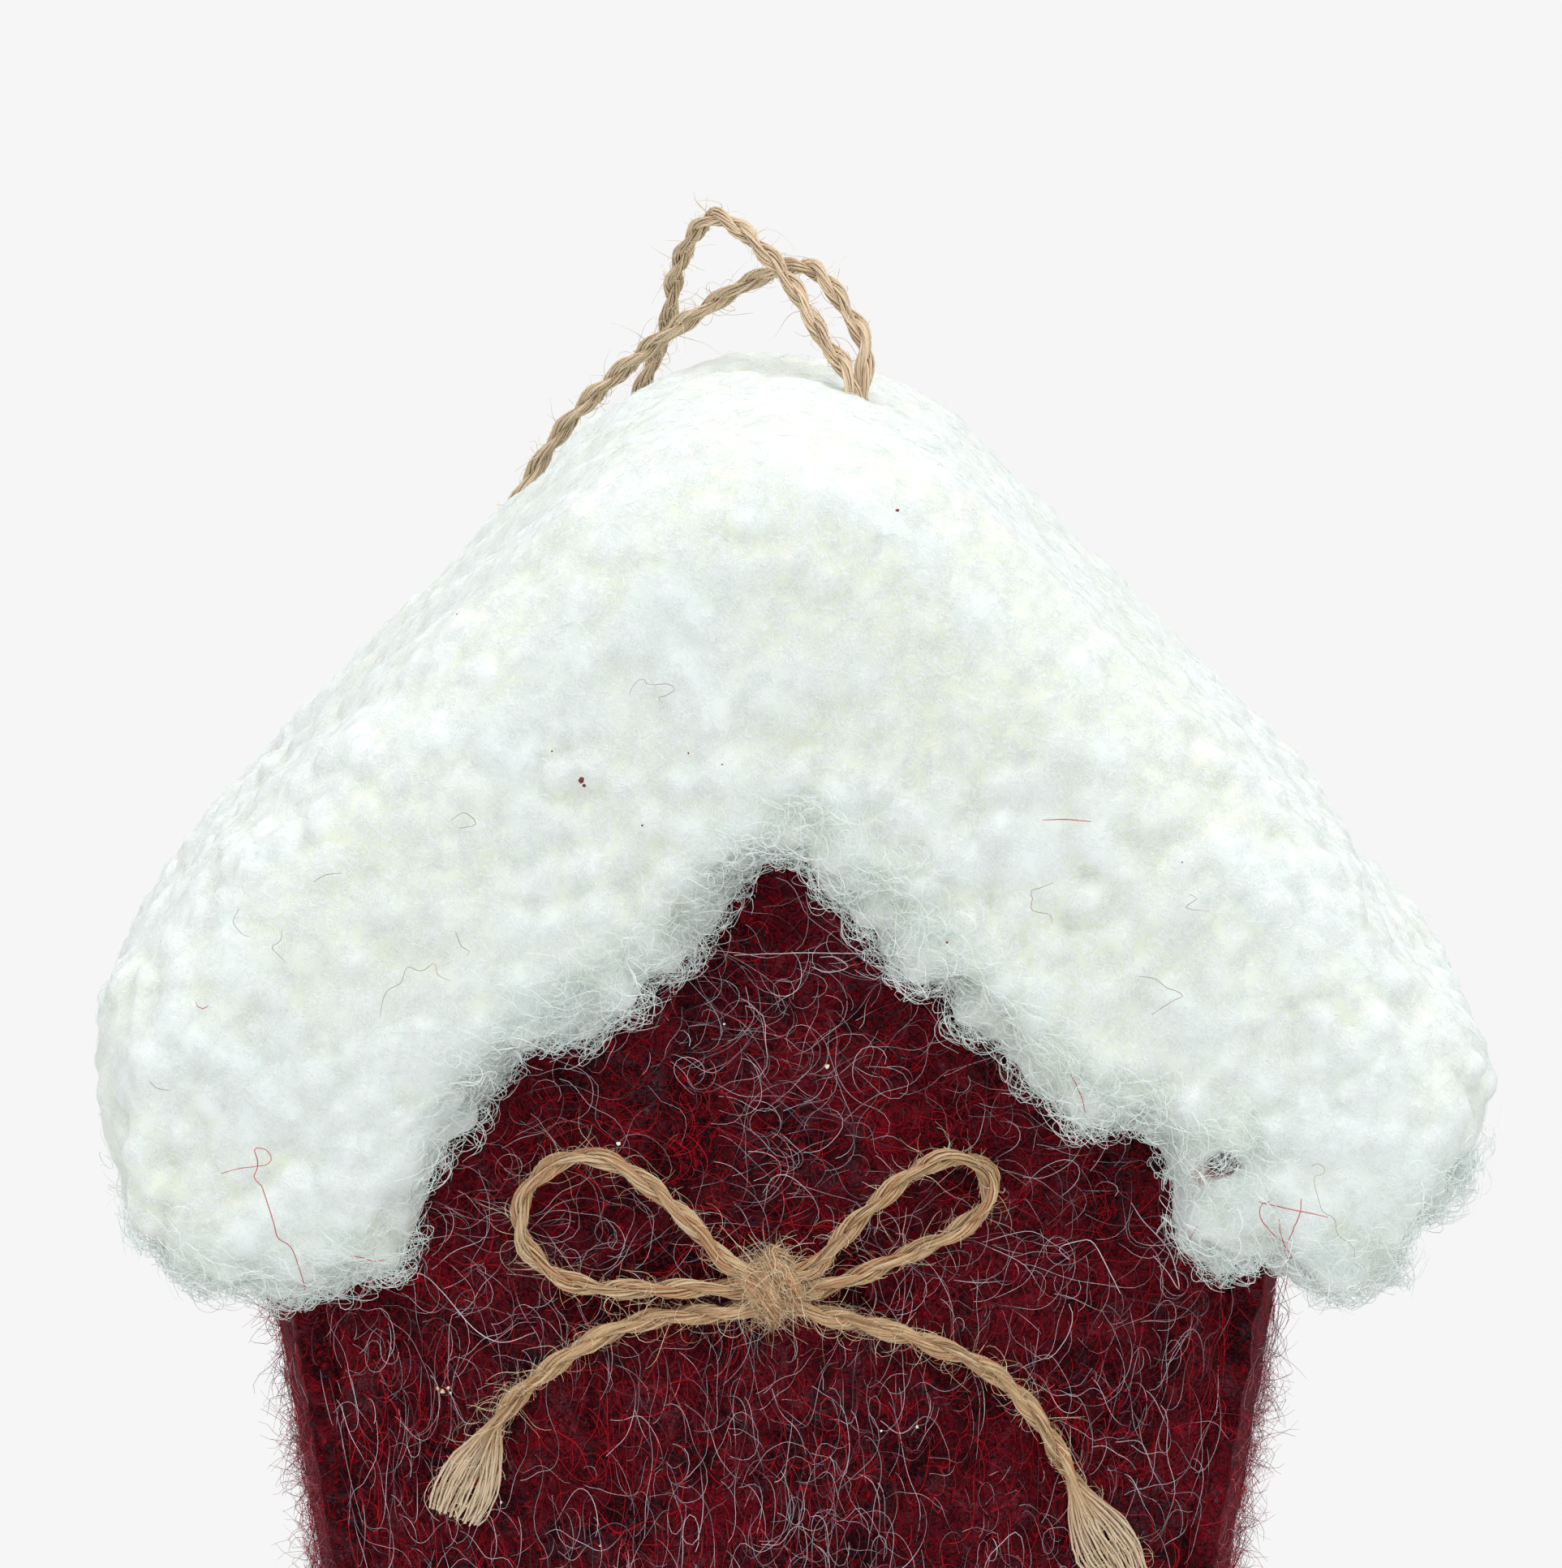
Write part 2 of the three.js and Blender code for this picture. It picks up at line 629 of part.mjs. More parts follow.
const felt = new THREE.MeshStandardMaterial({ color: '#4d0f1a', roughness: 0.95, metalness: 0 });
const fleece = new THREE.MeshStandardMaterial({ color: '#f3f0e4', roughness: 1, metalness: 0 });
const jute = new THREE.MeshStandardMaterial({ color: '#c3a376', roughness: 0.9, metalness: 0 });
const filling = new THREE.MeshStandardMaterial({ color: '#eeece6', roughness: 1, metalness: 0 });
const card = new THREE.MeshStandardMaterial({ color: '#b3936a', roughness: 0.9, metalness: 0 });
const glue = new THREE.MeshStandardMaterial({ color: '#e6dfc8', roughness: 0.35, metalness: 0 });

const pieces = [
  ['base_panel', basePanel(), felt],
  ['front_panel', gablePanel(-1), felt],
  ['back_panel', gablePanel(1), felt],
  ['side_panel_left', sidePanel(-1), felt],
  ['side_panel_right', sidePanel(1), felt],
  ['top_panel_left', topPanel(-1), felt],
  ['top_panel_right', topPanel(1), felt],
  ['stuffing', bodyBlock(-(feltThickness + seamGap), wallBottom, gableTipHalfWidth), filling],
  ['roof_board_left', roofBoard(-1), card],
  ['roof_board_right', roofBoard(1), card],
  ['roof_fleece', roofFleece(), fleece],
  ['loop_anchor_knot', barrel(anchorKnotRadius, 12).translate(loopExitX, 0, anchorKnotZ), jute],
  ['hanging_loop', twine(hangingLoopRoute, 54), jute],
  ['bow_glue_spot', bowGlue(), glue],
  ['bow_knot', bowKnot(), jute],
  ['bow_loop_left', twine(bowLoopLeftRoute, 20), jute],
  ['bow_loop_right', twine(bowLoopRightRoute, 18), jute],
  ['bow_tail_left', twine(bowTailLeftRoute, 9), jute],
  ['bow_tail_right', twine(bowTailRightRoute, 11), jute],
  ['bow_fray_left', frayedEnd(bowTailLeftRoute), jute],
  ['bow_fray_right', frayedEnd(bowTailRightRoute), jute],
];

const ornament = new THREE.Group();
for (const [name, geometry, material] of pieces) {
  const mesh = new THREE.Mesh(geometry, material);
  mesh.name = name;
  ornament.add(mesh);
}

export default ornament;
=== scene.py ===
# %% [markdown]
# # A stuffed felt house with a fleece roof
# The object is a small hanging house: hairy wool felt sewn round a filling, a roof of thick curly
# fleece, a bow of jute twine on the front and a twine loop at the ridge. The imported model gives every
# piece its size and place. This file gives each of them its surface: the pile, the hairs, the twisted
# twine and the colours. All lengths are in metres, and mm stands for one millimetre.

# %% Load the frame
import math

import bmesh
import bpy
import numpy as np
from mathutils import Euler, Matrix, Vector, noise
from mathutils.bvhtree import BVHTree
from mathutils.kdtree import KDTree


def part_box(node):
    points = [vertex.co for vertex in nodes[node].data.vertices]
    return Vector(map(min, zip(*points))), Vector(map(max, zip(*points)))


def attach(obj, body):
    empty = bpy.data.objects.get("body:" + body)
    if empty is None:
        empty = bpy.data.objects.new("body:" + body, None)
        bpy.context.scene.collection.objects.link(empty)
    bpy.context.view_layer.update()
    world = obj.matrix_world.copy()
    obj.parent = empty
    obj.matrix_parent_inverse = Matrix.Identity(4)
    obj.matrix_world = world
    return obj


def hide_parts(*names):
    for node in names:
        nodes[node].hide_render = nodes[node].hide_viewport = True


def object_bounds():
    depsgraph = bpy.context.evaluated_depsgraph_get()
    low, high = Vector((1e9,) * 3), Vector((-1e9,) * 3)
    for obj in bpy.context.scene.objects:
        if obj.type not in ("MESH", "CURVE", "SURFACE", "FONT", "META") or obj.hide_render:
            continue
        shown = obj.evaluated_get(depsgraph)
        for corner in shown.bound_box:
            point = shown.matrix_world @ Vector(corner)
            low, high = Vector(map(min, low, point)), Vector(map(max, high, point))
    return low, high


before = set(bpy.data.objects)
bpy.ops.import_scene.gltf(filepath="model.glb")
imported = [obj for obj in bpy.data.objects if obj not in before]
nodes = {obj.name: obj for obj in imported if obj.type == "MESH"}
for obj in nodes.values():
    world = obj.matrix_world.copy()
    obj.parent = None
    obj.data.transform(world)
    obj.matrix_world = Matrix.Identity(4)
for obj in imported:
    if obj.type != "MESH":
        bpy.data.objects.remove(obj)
cad_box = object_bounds()
scene = bpy.context.scene
mm = 0.001
print("CAD box in mm:", [[round(x / mm, 1) for x in corner] for corner in cad_box])

# %% [markdown]
# ## The camera
# The photograph looks a little down on the house from the front. One millimetre of the bow is 16 pixels
# wide in it, which ties the focal length to the distance: a long lens from half a metre away keeps the
# soft perspective of the eaves. The picture is 1925 pixels wide.

# %% Place the camera
photo_width = 1925
pixels_per_mm = 16
view_distance = 520 * mm
view_fall = math.radians(11)
view_target = Vector((0.47, -16.55, 100.28)) * mm
sensor_width = 36.0

camera = bpy.data.objects.new("camera", bpy.data.cameras.new("camera"))
scene.collection.objects.link(camera)
camera.data.sensor_fit = "HORIZONTAL"
camera.data.sensor_width = sensor_width
camera.data.lens = sensor_width * pixels_per_mm * (view_distance / mm) / photo_width
camera.data.clip_start = 0.01
camera.data.clip_end = 50.0
back = Vector((0, -math.cos(view_fall), math.sin(view_fall)))
camera.location = view_target + back * view_distance
camera.rotation_euler = (math.pi / 2 - view_fall, 0, 0)
scene.camera = camera
print("focal length:", round(camera.data.lens, 1), "mm on a 36 mm sensor")

# %% [markdown]
# ## Helpers for node trees
# Geometry and shader trees are both built in the script. A node takes its inputs by name or by number,
# and a Field is a socket that can be added and multiplied, so that a chain of nodes reads like a formula.

# %% Node helpers
class Field:
    """A socket in a node tree that takes part in sums and products."""

    def __init__(self, tree, socket):
        self.tree = tree
        self.socket = socket

    def run(self, operation, *others):
        node = self.tree.nodes.new("ShaderNodeMath")
        node.operation = operation
        for place, value in enumerate((self, *others)):
            plug(self.tree, node.inputs[place], value)
        return Field(self.tree, node.outputs[0])

    def __add__(self, other):
        return self.run("ADD", other)

    def __sub__(self, other):
        return self.run("SUBTRACT", other)

    def __mul__(self, other):
        return self.run("MULTIPLY", other)

    def __truediv__(self, other):
        return self.run("DIVIDE", other)

    def sine(self):
        return self.run("SINE")

    def cosine(self):
        return self.run("COSINE")


def plug(tree, socket, value):
    """Gives a socket a constant, or a link from a Field or another socket."""
    value = value.socket if isinstance(value, Field) else value
    if isinstance(value, bpy.types.NodeSocket):
        tree.links.new(value, socket)
    else:
        socket.default_value = value


def add(tree, kind, inputs=None, **settings):
    """Adds one node, with its settings and inputs, and returns it."""
    node = tree.nodes.new(kind)
    for key, value in settings.items():
        setattr(node, key, value)
    for key, value in (inputs or {}).items():
        plug(tree, node.inputs[key], value)
    return node


def field(tree, kind, output=0, inputs=None, **settings):
    """Adds one node and returns one of its outputs as a Field."""
    return Field(tree, add(tree, kind, inputs, **settings).outputs[output])


def combine(tree, x, y, z):
    return field(tree, "ShaderNodeCombineXYZ", inputs={0: x, 1: y, 2: z})


def split(tree, vector):
    """The three parts of a vector, as Fields."""
    node = add(tree, "ShaderNodeSeparateXYZ", {0: vector})
    return [Field(tree, socket) for socket in node.outputs]


def vectors(tree, operation, a, b=None, scale=None):
    """A vector sum, product or scaling."""
    inputs = {0: a}
    if b is not None:
        inputs[1] = b
    if scale is not None:
        inputs["Scale"] = scale
    return field(tree, "ShaderNodeVectorMath", inputs=inputs, operation=operation)


def new_tree(name, sizes):
    """A geometry tree with a named input for each of its sizes."""
    tree = bpy.data.node_groups.new(name, "GeometryNodeTree")
    tree.interface.new_socket("Geometry", in_out="INPUT", socket_type="NodeSocketGeometry")
    for size, kind in sizes.items():
        tree.interface.new_socket(size, in_out="INPUT", socket_type=f"NodeSocket{kind}")
    tree.interface.new_socket("Geometry", in_out="OUTPUT", socket_type="NodeSocketGeometry")
    entry = {socket.name: socket for socket in tree.nodes.new("NodeGroupInput").outputs if socket.name}
    return tree, entry


def close_tree(tree, geometry, material):
    """Ends a tree with smooth faces, no instances and the material that its input names."""
    smooth = add(tree, "GeometryNodeSetShadeSmooth", {"Geometry": geometry})
    smooth = add(tree, "GeometryNodeRealizeInstances", {"Geometry": smooth.outputs[0]})
    painted = add(tree, "GeometryNodeSetMaterial", {"Geometry": smooth.outputs[0], "Material": material})
    tree.links.new(painted.outputs[0], tree.nodes.new("NodeGroupOutput").inputs[0])
    return tree


# %% [markdown]
# ## Helpers for meshes
# Most pieces start as a copy of a CAD mesh, become a fine even net and then have every vertex moved by a
# number of its own. The modifiers could stay live, but a plain mesh can be moved, measured and exported as
# it is. So a holder object carries the modifiers, its evaluated mesh is taken, and the holder goes.

# %% Mesh helpers
def link(obj):
    scene.collection.objects.link(obj)
    return obj


def settled(holder, name):
    """What the holder and its modifiers make, as a plain mesh piece. The holder goes."""
    graph = bpy.context.evaluated_depsgraph_get()
    mesh = bpy.data.meshes.new_from_object(
        holder.evaluated_get(graph), preserve_all_data_layers=True, depsgraph=graph
    )
    bpy.data.objects.remove(holder)
    mesh.name = name
    return link(bpy.data.objects.new(name, mesh))


def run_tree(tree, mesh, name, sizes):
    """Runs a geometry tree on a mesh with these inputs, and returns the result as a plain mesh piece."""
    holder = link(bpy.data.objects.new(name + "_holder", mesh))
    modifier = holder.modifiers.new(tree.name, "NODES")
    modifier.node_group = tree
    for item in tree.interface.items_tree:
        if item.in_out == "INPUT" and item.name in sizes:
            modifier[item.identifier] = sizes[item.name]
    piece = settled(holder, name)
    print(f"{name}: {len(piece.data.loops) - 2 * len(piece.data.polygons)} triangles")
    return piece


def coordinates(mesh):
    flat = np.empty(3 * len(mesh.vertices), np.float32)
    mesh.vertices.foreach_get("co", flat)
    return flat.reshape(-1, 3)


def normals(mesh):
    flat = np.empty(3 * len(mesh.vertices), np.float32)
    mesh.vertex_normals.foreach_get("vector", flat)
    return flat.reshape(-1, 3)


def move_to(mesh, points):
    mesh.vertices.foreach_set("co", np.asarray(points, np.float32).ravel())
    mesh.update()


def store(mesh, name, values):
    """Keeps one number for each vertex under a name that node trees can read."""
    layer = mesh.attributes.get(name) or mesh.attributes.new(name, "FLOAT", "POINT")
    layer.data.foreach_set("value", np.asarray(values, np.float32))


def smoothstep(low, high, values):
    """0 at low, 1 at high and a soft step between them."""
    share = np.clip((values - low) / (high - low), 0, 1)
    return share * share * (3 - 2 * share)


def merged_copy(node, name):
    """A copy of a CAD node's mesh with its loose triangles joined. The node itself is left alone."""
    shape = bmesh.new()
    shape.from_mesh(nodes[node].data)
    bmesh.ops.remove_doubles(shape, verts=shape.verts, dist=0.001 * mm)
    mesh = bpy.data.meshes.new(name)
    shape.to_mesh(mesh)
    shape.free()
    return link(bpy.data.objects.new(name, mesh))


def remeshed(holder, name, voxel, smoothing):
    """The holder as an even net of small quads, with its facets smoothed away."""
    net = holder.modifiers.new("net", "REMESH")
    net.mode = "VOXEL"
    net.voxel_size = voxel
    relax = holder.modifiers.new("relax", "SMOOTH")
    relax.factor = 0.5
    relax.iterations = smoothing
    piece = settled(holder, name)
    piece.data.polygons.foreach_set("use_smooth", np.ones(len(piece.data.polygons), bool))
    return piece


def fbm(points, wavelength, octaves, seed):
    """Layered noise from about -1 to 1 at each point."""
    shift = Vector((seed * 17.3, seed * 5.1, seed * 9.7))
    return np.array([
        noise.fractal(Vector(p) / wavelength + shift, 1.0, 2.0, octaves) for p in points.tolist()
    ])


# %% [markdown]
# ## What lies under the open sky
# Hairs and pile grow only where a surface meets the air. A ray along each vertex's normal tells: where
# it meets another solid of the part within a few millimetres, the surface is hidden and stays bare.

# %% Test for open air
def solid_tree(names):
    """One search tree over the triangles of several CAD nodes."""
    points = []
    faces = []
    for node in names:
        first = len(points)
        points += [vertex.co.copy() for vertex in nodes[node].data.vertices]
        faces += [[first + i for i in face.vertices] for face in nodes[node].data.polygons]
    return BVHTree.FromPolygons(points, faces)


sky_reach = 7 * mm
ray_lift = 0.3 * mm


def open_air(mesh, blockers):
    """1 for each vertex that looks into the open, 0 for one that faces another piece."""
    hits = [
        blockers.ray_cast(Vector(p) + ray_lift * Vector(n), Vector(n), sky_reach)[0] is None
        for p, n in zip(coordinates(mesh).tolist(), normals(mesh).tolist())
    ]
    return np.array(hits, float)


felt_nodes = ["front_panel", "back_panel", "side_panel_left", "side_panel_right", "base_panel"]
inner_nodes = ["top_panel_left", "top_panel_right", "roof_board_left", "roof_board_right", "stuffing"]
body_solids = solid_tree(felt_nodes + inner_nodes)
fleece_solid = solid_tree(["roof_fleece"])
print("air is tested against", len(felt_nodes + inner_nodes), "solids of the body and the fleece")

# %% [markdown]
# ## Hairs
# Felt, fleece and jute all shed fine hairs that curl. Blender's own hair isn't exported, so each hair is
# a thin three-sided tube. A Geometry Nodes tree scatters points over a surface and lays a line of a few
# points on each. Then every hair takes a walk: at each step it turns a little, by an even curl and by a
# swing that comes and goes, and Accumulate Field adds the turns into headings and the steps into places.
# An even curl alone gives loops, and swing gives the long loose bends of wool. Lean tips a whole hair up
# off the surface and Spin turns it its own way, for fuzz that stands out at an edge. Droop, a number on
# the surface, draws the hairs out downwards where they hang. Cover, another one, thins them out.

# %% Build the hair tree
def hair_tree():
    tree, entry = new_tree("scatter hairs", {
        "Hairs per cm2": "Float", "Length": "Float", "Length spread": "Float", "Thickness": "Float",
        "Curl": "Float", "Swing": "Float", "Swing size": "Float", "Lift": "Float", "Spin": "Float",
        "Lean least": "Float", "Lean most": "Float", "Anchor": "Float", "Points": "Int",
        "Seed": "Int", "Material": "Material",
    })

    def recall(name, kind):
        return field(tree, "GeometryNodeInputNamedAttribute", inputs={"Name": name}, data_type=kind)

    per_square_metre = Field(tree, entry["Hairs per cm2"]) * 10000.0
    spots = add(tree, "GeometryNodeDistributePointsOnFaces", {
        "Mesh": entry["Geometry"], "Density": recall("cover", "FLOAT") * per_square_metre,
        "Seed": entry["Seed"],
    })

    def chance(shift):
        seed = Field(tree, entry["Seed"]) + float(shift)
        return field(tree, "FunctionNodeRandomValue", inputs={"Seed": seed}, data_type="FLOAT_VECTOR")

    place = field(tree, "GeometryNodeInputPosition")
    lean_luck = field(tree, "FunctionNodeRandomValue", output=1,
                      inputs={2: entry["Lean least"], 3: entry["Lean most"]}, data_type="FLOAT")
    spin_luck = field(tree, "FunctionNodeRandomValue", output=1,
                      inputs={2: 0.0, 3: math.tau, "Seed": 7}, data_type="FLOAT")
    lean = field(tree, "FunctionNodeEulerToRotation",
                 inputs={0: combine(tree, 0.0, lean_luck * -1.0, spin_luck * entry["Spin"])})
    points = spots.outputs["Points"]
    kept = {
        "turn": (spots.outputs["Rotation"], "QUATERNION"), "lean": (lean, "QUATERNION"),
        "root": (place, "FLOAT_VECTOR"), "luck": (chance(11), "FLOAT_VECTOR"),
        "whim": (chance(23), "FLOAT_VECTOR"),
    }
    for name, (value, kind) in kept.items():
        points = add(tree, "GeometryNodeStoreNamedAttribute",
                     {"Geometry": points, "Name": name, "Value": value},
                     data_type=kind, domain="POINT").outputs[0]

    strand = add(tree, "GeometryNodeCurvePrimitiveLine", {"End": (1.0, 0.0, 0.0)})
    strand = add(tree, "GeometryNodeResampleCurve",
                 {"Curve": strand.outputs[0], "Count": entry["Points"]}, mode="COUNT")
    laid = add(tree, "GeometryNodeInstanceOnPoints", {"Points": points, "Instance": strand.outputs[0]})
    real = add(tree, "GeometryNodeRealizeInstances", {"Geometry": laid.outputs[0]})
    curve_index = field(tree, "GeometryNodeCurveOfPoint")

    def summed(value, output=0):
        """The sum of a number along each hair: 0 up to this point, 2 over the whole hair."""
        return field(tree, "GeometryNodeAccumulateField", output=output,
                     inputs={"Value": value, "Group ID": curve_index}, data_type="FLOAT", domain="POINT")

    luck = split(tree, recall("luck", "FLOAT_VECTOR"))
    whim = split(tree, recall("whim", "FLOAT_VECTOR"))
    along = field(tree, "GeometryNodeSplineParameter")
    length = Field(tree, entry["Length"]) * (luck[0] * entry["Length spread"] * -1.0 + 1.0)
    steps = Field(tree, entry["Points"]) - 1.0
    side = (luck[1] - 0.5).run("SIGN")
    curl = side * (luck[2] * luck[2] * 0.9 + 0.1) * entry["Curl"] * math.tau / steps
    swing_at = combine(tree, along * length / entry["Swing size"], luck[0] * 91.0, whim[1] * 83.0)
    swing = field(tree, "ShaderNodeTexNoise", inputs={"Vector": swing_at, "Scale": 1.0, "Detail": 0.0})
    swing = (swing - 0.5) * entry["Swing"] * (length / steps / entry["Swing size"])
    heading = summed(curl + swing)
    stride = length / steps
    ahead = heading.cosine() * stride
    aside = heading.sine() * stride
    x = summed(ahead) - summed(ahead, 2) * entry["Anchor"]
    y = summed(aside) - summed(aside, 2) * entry["Anchor"]
    hump = (along * math.pi).sine() * 0.7 + 0.3
    local = combine(tree, x, y, whim[1] * hump * entry["Lift"])
    leaning = field(tree, "FunctionNodeRotateVector", inputs={0: local, 1: recall("lean", "QUATERNION")})
    droop = recall("droop", "FLOAT")
    drawn_out = combine(tree, droop * -0.4 + 1.0, droop * 0.25 + 1.0, 1.0)
    leaning = vectors(tree, "MULTIPLY", leaning, drawn_out)
    turned = field(tree, "FunctionNodeRotateVector",
                   inputs={0: leaning, 1: recall("turn", "QUATERNION")})
    position = vectors(tree, "ADD", recall("root", "FLOAT_VECTOR"), turned)
    shaped = add(tree, "GeometryNodeSetPosition", {"Geometry": real.outputs[0], "Position": position})
    tapered = (along * along * -0.6 + 1.0) * (whim[2] * 0.6 + 0.55)
    marked = add(tree, "GeometryNodeStoreNamedAttribute",
                 {"Geometry": shaped.outputs[0], "Name": "along", "Value": along},
                 data_type="FLOAT", domain="POINT")

    ring = add(tree, "GeometryNodeCurvePrimitiveCircle", {"Resolution": 3, "Radius": 0.5})
    ring = add(tree, "GeometryNodeStoreNamedAttribute",
               {"Geometry": ring.outputs[0], "Name": "around",
                "Value": field(tree, "GeometryNodeSplineParameter")},
               data_type="FLOAT", domain="POINT")
    tubes = add(tree, "GeometryNodeCurveToMesh", {
        "Curve": marked.outputs[0], "Profile Curve": ring.outputs[0],
        "Scale": tapered * entry["Thickness"], "Fill Caps": True,
    })
    u = luck[1] + recall("around", "FLOAT") * 0.003
    v = whim[0] + recall("along", "FLOAT") * 0.012
    mapped = add(tree, "GeometryNodeStoreNamedAttribute",
                 {"Geometry": tubes.outputs[0], "Name": "UVMap", "Value": combine(tree, u, v, 0.0)},
                 data_type="FLOAT2", domain="CORNER")
    bare = mapped.outputs[0]
    for name in (*kept, "along", "around", "cover", "droop"):
        bare = add(tree, "GeometryNodeRemoveAttribute", {"Geometry": bare, "Name": name}).outputs[0]
    return close_tree(tree, bare, entry["Material"])


hairs = hair_tree()

# %% [markdown]
# ## Twine
# Jute twine is two plies twisted round each other, and each ply is a bundle of coarse fibres with a
# twist of its own. The tree copies the route once for each fibre bundle and moves each copy along two
# circles at once: the ply's circle round the twine and the bundle's circle round the ply. Where the
# twine ends free, the circles open up and the bundles fan out flat.

# %% Build the twine tree
golden_angle = 2.39996


def twine_tree():
    tree, entry = new_tree("lay the twine", {
        "Step": "Float", "Plies": "Int", "Strands": "Int", "Ply offset": "Float", "Ply radius": "Float",
        "Strand radius": "Float", "Pitch": "Float", "Strand pitch": "Float", "Phase": "Float",
        "Drift": "Float", "Fan length": "Float", "Fan": "Float", "Seed": "Int", "Material": "Material",
    })
    route = add(tree, "GeometryNodeMeshToCurve", {"Mesh": entry["Geometry"]})
    route = add(tree, "GeometryNodeResampleCurve",
                {"Curve": route.outputs[0], "Length": entry["Step"]}, mode="LENGTH")
    route = add(tree, "GeometryNodeSetCurveNormal", {"Curve": route.outputs[0]}, mode="MINIMUM_TWIST")
    amount = Field(tree, entry["Plies"]) * entry["Strands"]
    copies = add(tree, "GeometryNodeDuplicateElements",
                 {"Geometry": route.outputs[0], "Amount": amount}, domain="SPLINE")
    index = Field(tree, copies.outputs["Duplicate Index"])
    ply = (index / entry["Strands"]).run("FLOOR")
    strand = index - ply * entry["Strands"]
    parameter = add(tree, "GeometryNodeSplineParameter")
    run = Field(tree, parameter.outputs["Length"])
    factor = Field(tree, parameter.outputs["Factor"])
    to_end = run / factor.run("MAXIMUM", 0.001) - run
    free = (Field(tree, entry["Fan length"]) - to_end).run("MAXIMUM", 0.0)
    free = free / Field(tree, entry["Fan length"]).run("MAXIMUM", 0.0001)

    laid_run = run - free * entry["Fan length"] * 0.85
    ply_angle = (laid_run / entry["Pitch"] + ply / entry["Plies"] + entry["Phase"]) * math.tau
    ring = (strand / entry["Strands"]).run("SQRT") * entry["Ply radius"]
    strand_angle = strand * golden_angle - laid_run / entry["Strand pitch"] * math.tau
    across = ply_angle.cosine() * entry["Ply offset"] + strand_angle.cosine() * ring
    upward = ply_angle.sine() * entry["Ply offset"] + strand_angle.sine() * ring
    normal = Field(tree, add(tree, "GeometryNodeInputNormal").outputs["Normal"])
    tangent = field(tree, "GeometryNodeInputTangent")
    binormal = vectors(tree, "CROSS_PRODUCT", tangent, normal)
    offset = vectors(tree, "ADD", vectors(tree, "SCALE", normal, scale=across),
                     vectors(tree, "SCALE", binormal, scale=upward))
    opening = (free * 2.3).sine() * entry["Fan"] + 1.0
    offset = vectors(tree, "MULTIPLY", offset, combine(tree, opening, free * -0.4 + 1.0, opening))
    wander_at = combine(tree, run * 420.0, index * 3.7, Field(tree, entry["Seed"]) * 5.3)
    wander = field(tree, "ShaderNodeTexNoise", output=1,
                   inputs={"Vector": wander_at, "Scale": 1.0, "Detail": 2.0})
    wander = vectors(tree, "SUBTRACT", wander, (0.5, 0.5, 0.5))
    wander = vectors(tree, "SCALE", wander, scale=(free * 2.8 + 1.0) * entry["Drift"])
    moved = add(tree, "GeometryNodeSetPosition", {
        "Geometry": copies.outputs[0], "Offset": vectors(tree, "ADD", offset, wander),
    })
    tone = field(tree, "ShaderNodeTexWhiteNoise", inputs={"W": index * 1.3 + entry["Seed"]},
                 noise_dimensions="1D")
    for name, value in (("tone", tone), ("run", run)):
        moved = add(tree, "GeometryNodeStoreNamedAttribute",
                    {"Geometry": moved.outputs[0], "Name": name, "Value": value},
                    data_type="FLOAT", domain="POINT")
    profile = add(tree, "GeometryNodeCurvePrimitiveCircle", {"Resolution": 4, "Radius": 1.0})
    thin = (free * -0.3 + 1.0) * entry["Strand radius"] * (tone * 0.5 + 0.75)
    tubes = add(tree, "GeometryNodeCurveToMesh", {
        "Curve": moved.outputs[0], "Profile Curve": profile.outputs[0], "Scale": thin, "Fill Caps": True,
    })
    return close_tree(tree, tubes.outputs[0], entry["Material"])


twine = twine_tree()
print("trees:", hairs.name, "with", len(hairs.nodes), "nodes;", twine.name, "with", len(twine.nodes))

# %% [markdown]
# ## Routes of the twine
# The routes are those of the imported model: a smooth curve through given points. The curve is
# the centripetal Catmull-Rom spline, which has no loops or cusps where the points lie close together.

# %% Draw a smooth route
def between(points, times, t):
    """A point of the Catmull-Rom curve through four points at a time between the middle two."""
    a = [points[i].lerp(points[i + 1], (t - times[i]) / (times[i + 1] - times[i])) for i in range(3)]
    b = [a[i].lerp(a[i + 1], (t - times[i]) / (times[i + 2] - times[i])) for i in range(2)]
    return b[0].lerp(b[1], (t - times[1]) / (times[2] - times[1]))


def smooth_route(points, parts=12):
    """Points of the centripetal Catmull-Rom curve, parts of them for each given point."""
    ends = [points[0] * 2 - points[1], *points, points[-1] * 2 - points[-2]]
    route = []
    for i in range(len(points) - 1):
        four = ends[i:i + 4]
        times = [0.0]
        for a, b in zip(four, four[1:]):
            times.append(times[-1] + math.sqrt((b - a).length))
        for k in range(parts):
            route.append(between(four, times, times[1] + (times[2] - times[1]) * k / parts))
    return [*route, points[-1]]


def route_length(route):
    return sum((b - a).length for a, b in zip(route, route[1:]))


